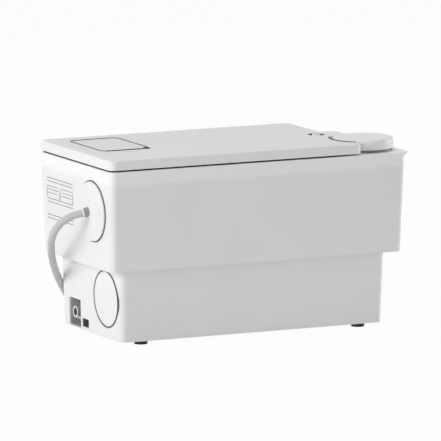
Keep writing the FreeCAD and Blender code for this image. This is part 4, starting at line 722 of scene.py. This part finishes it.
# %% Painted shade in the pockets
# Greys of painted shade, with the grain of waxy polypropylene and dull rubber, so that a white recess reads
# as deep.
grey_recess_shade = grained("grey painted recess shade", "#b4b6b8", "#abadaf", 0.9, 0.015, 0.55, 0.05, 20.0)
dark_recess_shade = grained("dark grey painted recess shade", "#6d6f71", "#636567", 0.8, 0.02, 0.65, 0.06, 12.0)


def shade_pocket(name, low, high, thin, material):
    """Five thin slabs of painted shade that line a pocket open to the left: back, floor, ceiling and both
    sides.
    """
    (left, near, foot), (deep, far, head) = low, high
    sides = [
        ((deep - thin, near, foot), high), (low, (deep, far, foot + thin)),
        ((left, near, head - thin), high), (low, (deep, near + thin, head)),
        ((left, far - thin, foot), high),
    ]
    for index, (one, other) in enumerate(sides):
        belongs(slab(f"{name}_{index}", one, other, 0.3 * thin, material))


low_wall = wall_x("tank", 55.0, 12.0)
shade_pocket("drain_liner", (low_wall + 1.2, 24.1, 5.7), (low_wall + 15.6, 50.7, 33.5), 0.5, grey_recess_shade)
shade_pocket("fixing_liner", (low_wall + 0.5, 5.8, 7.75), (low_wall + 13.6, 20.3, 16.15), 0.4, dark_recess_shade)


def between(count):
    """The faces of a solid between two outlines of so many points each."""
    faces = [tuple(reversed(range(count))), tuple(range(count, 2 * count))]
    faces += [(at, (at + 1) % count, count + (at + 1) % count, count + at) for at in range(count)]
    return faces


def prism(name, outline, low, high, material):
    """An upright solid over an outline that runs counter-clockwise seen from above."""
    points = [(x, y, z) for z in (low, high) for x, y in outline]
    return solid(name, points, between(len(outline)), material)


notch_x, notch_y = flap_right + 2 * HALF_GAP, flap_near - 2 * HALF_GAP
FLOOR_LEG, WALL_LEG, WALL_SKIN = 12.3, 10.8, 0.45
NOTCH_SEAT, NOTCH_FLOOR = 184.12, 184.7


def notch_corner(leg):
    """The notch's outer corner between two points so far from it along both walls."""
    return [(notch_x - leg, notch_y), (notch_x, notch_y), (notch_x, notch_y + leg)]


wall_outline = [
    *notch_corner(WALL_LEG), (notch_x - WALL_SKIN, notch_y + WALL_LEG),
    (notch_x - WALL_SKIN, notch_y + WALL_SKIN), (notch_x - WALL_LEG, notch_y + WALL_SKIN),
]
# Along and beside the flap's cut: the corners of the near-black strip of painted shade on the cut face,
# from the cut's two ends.
IN, OUT, BESIDE = 0.06, 0.38, 0.26
cut_shade_outline = [
    (flap_right - CUT + IN, flap_near + IN), (flap_right - CUT + OUT, flap_near - BESIDE),
    (flap_right + BESIDE, flap_near + CUT - OUT), (flap_right - IN, flap_near + CUT - IN),
]
# Near-black pieces of painted shade: the notch's floor and walls, and a strip on the flap's cut.
for name, outline, low, high, body in (
    ("finger_pocket_pad", notch_corner(FLOOR_LEG), NOTCH_SEAT, NOTCH_FLOOR, "lid"),
    ("finger_pocket_wall", wall_outline, NOTCH_FLOOR, LID_HIGH - 0.15, "lid"),
    ("finger_grip", cut_shade_outline, 184.3, LID_HIGH - 0.3, "filter"),
):
    belongs(prism(name, outline, low, high, rubber), body)

DRAIN_Y, DRAIN_Z = 37.95, 19.8
spigot_tip = box_mm("drain_spigot")[0][0]
# A dark cup in the spigot's bore: painted shade.
cup = [(4.0, 0.0), (4.0, 3.97), (0.4, 3.97), (0.4, 3.55), (3.4, 3.55), (3.4, 0.0)]
cup_at = (spigot_tip, DRAIN_Y, DRAIN_Z)
belongs(spun("spigot_liner", cup, cup_at, (1, 0, 0), dark_recess_shade))
# The spigot itself is painted grey as shade in its pocket.
wear(nodes["drain_spigot"], grey_recess_shade)
lip = [(0.3, 4.1), (-0.25, 4.4), (-0.4, 4.9), (-0.25, 5.4), (0.3, 5.7)]
belongs(spun("spigot_lip", lip, cup_at, (1, 0, 0), smooth_abs, ring=True))
SCREW_X, SCREW_Y = 105.5, -3.25
# A dark lining in the lid screw's recess: painted shade.
liner = [
    (182.0, 4.6), (182.0, 8.95), (187.3, 8.95), (187.6, 8.8), (187.6, 8.3), (184.2, 8.3), (184.2, 4.6),
]
recess = spun("screw_recess_liner", liner, (SCREW_X, SCREW_Y, 0), (0, 0, 1), dark_recess_shade, 64, ring=True)
belongs(recess, "lid")
knob = [(184.6, 4.3), (187.9, 4.1), (188.4, 3.8), (188.6, 3.2), (188.65, 1.0)]
belongs(spun("screw_knob", knob, (SCREW_X, SCREW_Y, 0), (0, 0, 1), smooth_abs), "lid_screw")
# A near-black bar across the knob: painted shade of a slot.
slot_low, slot_high = (SCREW_X - 2.9, SCREW_Y - 0.5, 188.5), (SCREW_X + 2.9, SCREW_Y + 0.5, 188.7)
belongs(slab("screw_knob_slot", slot_low, slot_high, 0.05, rubber), "lid_screw")
print("lined two pockets, the finger notch, the drain spigot and the screw's recess")

# %% [markdown]
# ## Cable cover, boot and plate
# The cable cover stands 2 mm proud of the wall, which gives it the grey edge on
# its near side, and swells into a small flare where the cord comes out. A soft
# boot with a pale end ring leans the way the cord goes; its mid grey is painted
# shade. Beside it is a blank form plate: its rules are thin bars, and each kind of
# rule is one bar set at many points.

# %% Cable cover and boot
LEAN = 0.0268
cover_at = (wall_x("cable_cover", COVER_Y - 15, COVER_Z), COVER_Y, COVER_Z)
cover_profile = [
    (-2.0, 27.0), (-2.0, 29.6), (1.3, 29.6), (1.75, 29.45), (2.0, 29.0), (2.1, 28.4), (2.15, 17.0),
    (2.2, 13.0), (2.45, 10.5), (3.0, 8.6), (3.9, 7.2), (4.9, 6.3), (5.3, 6.0), (5.4, 5.6), (5.4, 3.0),
]
cover = spun("cable_cover_disc", cover_profile, cover_at, (-1, 0, -LEAN), white_abs, 96)
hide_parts("cable_cover")
belongs(cover)

BOOT_AT, BOOT_WAY = (-161.8, -39.95, 132.7), (-0.92, 0.33, -0.21)
# Soft PVC, even and dull, a shade darker than the cord that comes out of it: the grey is painted shade.
boot_shade_grey = grained("soft PVC boot, painted shade grey", "#9b9c9d", "#919293", 0.8, 0.02, 0.5, 0.05, 9.0)
boot_profile = [(-8.0, 6.0), (-2.5, 5.6), (0.0, 5.4), (2.6, 4.95), (4.8, 4.6), (6.4, 4.4), (6.4, 3.4)]
boot = spun("cord_boot", boot_profile, BOOT_AT, BOOT_WAY, boot_shade_grey)
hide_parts("cable_gland")
belongs(boot)
ring_profile = [(5.9, 4.2), (5.9, 4.6), (6.2, 4.9), (6.9, 4.95), (7.3, 4.8), (7.5, 4.4), (7.5, 3.6)]
boot_ring = spun("cord_boot_ring", ring_profile, BOOT_AT, BOOT_WAY, smooth_abs, ring=True)
belongs(boot_ring)
print("the cover stands at", [round(value, 1) for value in cover_at])

# %% Form plate
# Satin film is a hair off the wall's white, and printed ink on it is flat grey.
plate_white = grained("polyester film, satin", "#efefee", "#ececeb", 2.0, 0.005, 0.3, 0.03, 30.0)
ruling_ink = grained("grey printed rule", "#6c6d6f", "#646567", 0.6, 0.004, 0.5, 0.04, 10.0)
PLATE_LEFT, PLATE_RIGHT, PLATE_LOW, PLATE_HIGH = 68.5, 3.0, 108.0, 156.0


def on_wall(y, z, out):
    """A point on the tank's end wall, moved out of it by some millimetres."""
    return (wall_x("tank", y, z) - out, y, z)


plate_corners = [
    (PLATE_LEFT, PLATE_LOW), (PLATE_RIGHT, PLATE_LOW), (PLATE_RIGHT, PLATE_HIGH), (PLATE_LEFT, PLATE_HIGH),
]
sheet_points = [on_wall(y, z, out) for out in (-0.1, 0.18) for y, z in plate_corners]
belongs(solid("form_plate", sheet_points, between(len(plate_corners)), plate_white))


def rule_item(long, tall):
    """A thin bar to be set at points on the plate: so long to the side and so tall."""
    return slab("rule_item", (-0.08, -long / 2, -tall / 2), (0.08, long / 2, tall / 2), 0.03, ruling_ink)


RULE_OUT, ROW_TOP, ROW_PITCH = 0.22, 144.8, 3.4
full_heights = (153.0, 149.6, 132.4, 129.0, 116.0, 112.6)
full_rows = [(on_wall(36.0, z, RULE_OUT), (0, 0, 0)) for z in full_heights]
half_rows = [
    (on_wall(y, ROW_TOP - ROW_PITCH * row, RULE_OUT), (0, 0, 0)) for y in (53.0, 19.5) for row in range(3)
]
columns = [(on_wall(y, 141.0, RULE_OUT), (0, 0, 0)) for y in (66.0, 38.0, 34.5, 6.0)]
for name, item, places in (
    ("plate_full_rows", rule_item(60.0, 0.6), full_rows),
    ("plate_half_rows", rule_item(24.0, 0.55), half_rows),
    ("plate_columns", rule_item(0.5, 15.0), columns),
):
    belongs(repeat(name, item, places, ruling_ink))
print("the plate has", len(full_rows) + len(half_rows), "ruled rows")

# %% [markdown]
# ## Plug and tie
# The plug's grip has rubber rings to hold it by, its face a rim and its pins short
# sleeves, and the coil is held by a tie. The rings are the bead tree on circles,
# worked out from the plug's axis, so they follow it wherever the cord ends.

# %% Rings round the plug
PLUG_GRIP, PLUG_NECK, GRIP_LONG, FACE_LONG, PLUG_TALL, FACE_R = 7.0, 15.2, 20.0, 15.2, 40.0, 18.5
plug_foot = tail[-1] - tail_way * INTO_PLUG


def ring_points(centre, way, radius, steps=64):
    """A circle round an axis, in millimetres."""
    return [Vector(centre) + ray * radius for ray in spokes(way, steps)[1]]


def grip_radius(along):
    """The radius of the plug's tapered grip at a distance from the cord."""
    return PLUG_GRIP + (PLUG_NECK - PLUG_GRIP) * along / GRIP_LONG


rings = [
    (f"grip_ring_{index}", along, grip_radius(along) + 0.1, 0.9)
    for index, along in enumerate((3.0, 6.2, 9.4, 12.6, 15.8))
]
rings += [
    ("face_rim", PLUG_TALL - 1.2, FACE_R - 0.5, 0.7),
    ("face_seam", PLUG_TALL - FACE_LONG, FACE_R - 0.4, 0.7),
]
for name, along, radius, thick in rings:
    line = ring_points(plug_foot + tail_way * along, tail_way, radius)
    belongs(bead(name, line, thick, plug_pvc))

# %% Cord boot at the plug, pin sleeves and coil tie
relief = [(-11.0, 3.9), (-10.6, 4.5), (-4.0, 5.4), (0.4, 6.6), (0.4, 4.0)]
sleeve_foot = plug_foot + tail_way * PLUG_TALL
across = Vector((-tail_way.y, tail_way.x, 0)).normalized()
plug_boot = spun("plug_boot", relief, plug_foot, tail_way, plug_pvc)
belongs(plug_boot)
sleeve = [(-0.4, 2.45), (-0.4, 2.75), (8.6, 2.75), (9.0, 2.45)]
for index, side in enumerate((-9.5, 9.5)):
    piece = spun(f"pin_sleeve_{index}", sleeve, sleeve_foot + across * side, tail_way, filled_nylon, 24)
    belongs(piece)

# The tie goes round the four strands at one place: at each angle the outermost
# strand carries it, and it stays off the floor by its own thickness.
TIE_TURN, TIE, TIE_STEPS = 0.6, 0.9, 48
tie_side = coil_spot(TIE_TURN) - COIL_HEART
tie_side = Vector((tie_side.x, tie_side.y, 0)).normalized()
strands = [coil_place(TIE_TURN + turn) for turn in range(4)]
tie_line = []
for step in range(TIE_STEPS):
    angle = 2 * math.pi * step / TIE_STEPS
    out, rise = math.cos(angle), math.sin(angle)
    radius, height = max(strands, key=lambda strand: strand[0] * out + strand[1] * rise)
    place = COIL_HEART + tie_side * (radius + out * (CORD + 0.4))
    place.z = max(height + rise * (CORD + 0.4), TIE + 0.05)
    tie_line.append(place)
tie = bead("coil_tie", tie_line, TIE, rubber)
belongs(tie)

# %% [markdown]
# ## Under the lid
# When the lid comes up, the pump unit shows: a finned motor, screws, hose clamps
# on the riser, the control box with its own lid screws, and two black leads.
# Fins, screws and ribs are single small items set at many points. The leads are
# smooth splines with a few points, as the mains cord is.

# %% Leads inside
LEADS = {
    "supply_lead": ("control_lead", [
        (-151.1, -39.95, 132.7), (-124.32, -39.95, 132.7), (-124.32, 7.75, 132.7),
    ]),
    "motor_lead": ("pump_lead", [
        (-107.92, 27.35, 131.25), (-70.59, 27.35, 131.25), (-38.59, -9.75, 131.25), (-1.25, -9.75, 131.25),
    ]),
}


def line_length(piece):
    """The length of a curve object's line, in metres."""
    plain = put("plain_line", piece.data.copy())
    plain.data.bevel_depth = 0.0
    graph = bpy.context.evaluated_depsgraph_get()
    mesh = bpy.data.meshes.new_from_object(plain.evaluated_get(graph))
    points = [vert.co.copy() for vert in mesh.vertices]
    bpy.data.objects.remove(plain)
    return sum((after - before).length for before, after in zip(points, points[1:]))


for node, (name, lead_route) in LEADS.items():
    lead = round_line(name, lead_route, CORD)
    wear(lead, lead_sheath)
    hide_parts(node)
    belongs(lead)
    long = line_length(lead)
    print(name, "is", round(long / MM, 1), "mm long")

# %% Motor fins and screws
PUMP, MOTOR_R, MOTOR_MIDDLE, SCREW_R = (37.25, -9.75), 40.0, 100.0, 33.0
FIN_EVERY, BARE_FROM, BARE_TO = 9.0, 110, 215


def round_motor(degrees, radius, height):
    """A place round the motor's axis and the turn that faces outwards there."""
    turn = math.radians(degrees)
    return polar(PUMP, radius, turn, height), (0, 0, turn)


fins = [
    round_motor(step * FIN_EVERY, MOTOR_R, MOTOR_MIDDLE)
    for step in range(40) if not BARE_FROM < step * FIN_EVERY < BARE_TO
]
fin = slab("fin_item", (-0.6, -0.75, -36.0), (2.2, 0.75, 36.0), 0.5, cast_aluminium)
belongs(repeat("motor_fins", fin, fins, cast_aluminium))

screw_profile = [(0.0, 2.9), (1.7, 2.9), (2.2, 2.5), (2.2, 1.5), (1.1, 1.5), (1.1, 0.3)]
housing_top = box_mm("motor_housing")[1][2]
top_screws = [round_motor(45 + 90 * step, SCREW_R, housing_top) for step in range(4)]
screw = spun("screw_item", screw_profile, (0, 0, 0), (0, 0, 1), turned_steel, 24)
belongs(repeat("motor_top_screws", screw, top_screws, turned_steel))
end_bell = [(0.0, 24.0), (1.2, 24.0), (2.0, 23.2), (2.4, 15.0), (3.6, 13.8), (4.0, 12.0), (4.0, 0.5)]
bell = spun("motor_end_bell", end_bell, (*PUMP, housing_top - 0.05), (0, 0, 1), cast_aluminium, 72)
belongs(bell)
print(len(fins), "fins and", len(top_screws), "screws on the motor")

# %% Control box fittings
BOX_EDGE, RIB_FIRST, RIB_PITCH = 4.5, 11, 3.4
box_low, box_high = box_mm("box_cover")
left, right_side = box_low[0] + BOX_EDGE, box_high[0] - BOX_EDGE
near, far = box_low[1] + BOX_EDGE, box_high[1] - BOX_EDGE
lid_screws = [
    ((x, y, box_high[2]), (0, 0, 0.4 * index))
    for index, (x, y) in enumerate(((left, near), (right_side, near), (right_side, far), (left, far)))
]
small_screw = [(0.0, 2.3), (1.2, 2.3), (1.6, 1.9), (1.6, 1.1), (0.8, 1.1), (0.8, 0.2)]
screw = spun("small_screw_item", small_screw, (0, 0, 0), (0, 0, 1), turned_steel, 20)
belongs(repeat("box_cover_screws", screw, lid_screws, turned_steel))
bar_y = (box_low[1] + box_high[1]) / 2
bars = [
    ((box_low[0] + RIB_FIRST + RIB_PITCH * step, bar_y, box_high[2]), (0, 0, 0)) for step in range(8)
]
rib = slab("box_rib_item", (-0.7, -18.0, -0.2), (0.7, 18.0, 0.8), 0.3, box_plastic)
belongs(repeat("box_cover_ribs", rib, bars, box_plastic))
nut = [(-0.3, 4.2), (-0.3, 6.6), (3.4, 6.4), (4.6, 5.4), (5.2, 4.6), (5.2, 4.0)]
for name, foot, way in (
    ("box_gland_supply", (-124.32, 5.75, 132.7), (0, -1, 0)),
    ("box_gland_motor", (-105.9, 27.35, 131.25), (1, 0, 0)),
    ("motor_gland", (-2.75, -9.75, 131.25), (-1, 0, 0)),
):
    belongs(spun(name, nut, foot, way, filled_nylon, 6, 20))
print("control box:", len(lid_screws), "screws,", len(bars), "ribs")

# %% Hose clamps
def hose_clamp(name, centre, way, radius):
    """A steel band with a worm housing, round a pipe."""
    band = [(-4.0, radius), (-4.0, radius + 0.7), (4.0, radius + 0.7), (4.0, radius)]
    belongs(spun(name + "_band", band, centre, way, turned_steel, 64, ring=True))
    lump = slab(name + "_item", (-6.0, -0.5, -4.6), (6.0, 4.6, 4.6), 1.0, turned_steel)
    turn = Vector((0, 0, 1)).rotation_difference(Vector(way)).to_euler()
    place = Vector(centre) + Vector((0, radius + 0.4, 0))
    belongs(repeat(name + "_worm", lump, [(place, turn)], turned_steel))


HOSE_R = 14.5
hose_clamp("riser_clamp", (*CAP, 105.6), (0, 0, 1), HOSE_R)
hose_clamp("casing_clamp", (86.0, CAP[1], 31.5), (1, 0, 0), HOSE_R)
print("two hose clamps")

# %% [markdown]
# ## Pieces that come off
# The cap's socket has a thread, the tray has slots in its walls, and the plug's
# hollow stem carries two thin sealing rings.

# %% Thread, slots and rings
SOCKET_R, SOCKET_LOW, THREAD_PITCH, THREAD_TURNS, THREAD_STEPS = 25.0, 179.6, 2.6, 1.6, 36
thread = [
    polar(CAP, SOCKET_R, 2 * math.pi * step / THREAD_STEPS, SOCKET_LOW + THREAD_PITCH * step / THREAD_STEPS)
    for step in range(int(THREAD_STEPS * THREAD_TURNS))
]
belongs(bead("socket_thread", thread, 0.28, pipe_plastic, closed=False))

SLOT_PITCH, SLOT_RISE = 6.4, 10.0
tray_low, tray_high = box_mm("filter_tray")
slot_z = tray_low[2] + SLOT_RISE
slots = [
    ((x, tray_low[1] + 10 + SLOT_PITCH * step, slot_z), (0, 0, 0))
    for step in range(9) for x in (tray_low[0], tray_high[0])
]
slots += [
    ((tray_low[0] + 9 + SLOT_PITCH * step, y, slot_z), (0, 0, math.pi / 2))
    for step in range(5) for y in (tray_low[1], tray_high[1])
]
slot = slab("tray_slot_item", (-0.06, -1.3, -6.0), (0.06, 1.3, 6.0), 0.02, carbon_foam)
belongs(repeat("tray_slots", slot, slots, carbon_foam), "filter")

stem_right = box_mm("inlet_plug")[1][0]
for index, back_by in enumerate((3.0, 6.0)):
    line = ring_points((stem_right - back_by, PLUG_Y, PLUG_Z), (1, 0, 0), 24.55, 96)
    belongs(bead(f"plug_stem_ring_{index}", line, 0.45, rubber), "inlet_plug")
print("thread of", len(thread), "points and", len(slots), "tray slots")

# %% [markdown]
# ## Floor and light
# A pale floor and four large soft lights, as in a studio: the strongest from the
# left makes the end wall the brightest face, a weaker one above lights the lid, a
# low one on the right gives the cap and the lid's end their bright edges, and the
# last one and the sky fill the long front. The left light isn't mirrored, because
# its glare would turn the lid white when it is seen from the right. The sky is
# white where the camera sees it, through Light Path, and a plain grey for the
# light it gives.

# %% Floor
FLOOR_REACH, FLOOR_GLOW = 6.0, 0.96


def seen_share(tree):
    """A node that gives 1 to the camera, straight or in a reflection, and 0 to other light."""
    path = add(tree, "ShaderNodeLightPath")
    return add(
        tree, "ShaderNodeMath", {"operation": "MAXIMUM"},
        [(0, path, "Is Camera Ray"), (1, path, "Is Glossy Ray")],
    )


def make_floor():
    """A wide floor of matt paper, in metres: white to the camera, with soft shadows."""
    mesh = bpy.data.meshes.new("studio_floor")
    corners = [Vector((x, y, 0)) * FLOOR_REACH for x, y in ((-1, -1), (1, -1), (1, 1), (-1, 1))]
    mesh.from_pydata(corners, [], [(0, 1, 2, 3)])
    floor = put("studio_floor", mesh)
    material, tree, surface, place = new_material("pale studio paper")
    tint = add(tree, "ShaderNodeTexNoise", {"Scale": 2.0}, [("Vector", place, "Object")])
    tones = add(tree, "ShaderNodeValToRGB", links=[("Fac", tint, "Fac")])
    tones.color_ramp.elements[0].color = colour("#f6f6f6")
    tones.color_ramp.elements[1].color = colour("#f8f8f8")
    tree.links.new(tones.outputs["Color"], surface.inputs["Base Color"])
    surface.inputs["Roughness"].default_value = 0.9
    glow = add(tree, "ShaderNodeEmission", {"Strength": 1.0})
    seen = add(tree, "ShaderNodeMath", {"operation": "MULTIPLY"}, [(0, seen_share(tree), "Value")])
    seen.inputs[1].default_value = FLOOR_GLOW
    blend = add(tree, "ShaderNodeMixShader", links=[("Fac", seen, "Value")])
    tree.links.new(surface.outputs["BSDF"], blend.inputs[1])
    tree.links.new(glow.outputs["Emission"], blend.inputs[2])
    tree.links.new(blend.outputs["Shader"], first(tree, "OUTPUT_MATERIAL").inputs["Surface"])
    wear(floor, material)
    return floor


floor = make_floor()
floor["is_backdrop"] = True
print("the floor shows", round(100 * FLOOR_GLOW), "% plain white")

# %% Soft lights
UNIT_MIDDLE = Vector((0.0, 0.0, 0.1))


def soft_light(name, power, wide, tall, place):
    """A large soft light, in watts and metres, turned towards the unit."""
    lamp = bpy.data.lights.new(name, "AREA")
    lamp.shape, lamp.size, lamp.size_y, lamp.energy = "RECTANGLE", wide, tall, power
    holder = put(name, lamp)
    holder.location = place
    holder.rotation_euler = (UNIT_MIDDLE - Vector(place)).to_track_quat("-Z", "Y").to_euler()
    return holder


left_light = soft_light("left_softbox", 44.0, 1.8, 1.6, (-2.6, -0.42, 1.0))
left_light.visible_glossy = False
soft_light("top_softbox", 11.0, 1.8, 1.8, (0.2, 0.3, 2.4))
soft_light("front_softbox", 6.5, 1.6, 1.2, (0.8, -2.6, 1.1))
soft_light("right_softbox", 16.0, 0.9, 0.6, (2.4, -0.1, 0.4))

SKY_LIGHT, SKY_SEEN = 0.27, 1.0
world = bpy.data.worlds.new("studio_sky")
world.use_nodes = True
sky = world.node_tree
sky.nodes.clear()
sky_mix = add(sky, "ShaderNodeMixShader", links=[("Fac", seen_share(sky), "Value")])
for index, strength in ((1, SKY_LIGHT), (2, SKY_SEEN)):
    part = add(sky, "ShaderNodeBackground", {"Strength": strength, "Color": colour("#ffffff")})
    sky.links.new(part.outputs["Background"], sky_mix.inputs[index])
add(sky, "ShaderNodeOutputWorld", links=[("Surface", sky_mix, "Shader")])
bpy.context.scene.world = world
print("four softboxes and a sky")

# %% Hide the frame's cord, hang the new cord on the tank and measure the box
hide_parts("mains_cord", "cord_coil", "cord_tail")
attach(cord, "tank_unit")
size_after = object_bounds()
grown_by = [round((after - before) / MM, 2) for before, after in zip(size_before[1], size_after[1])]
print("the box grew by", grown_by, "mm")
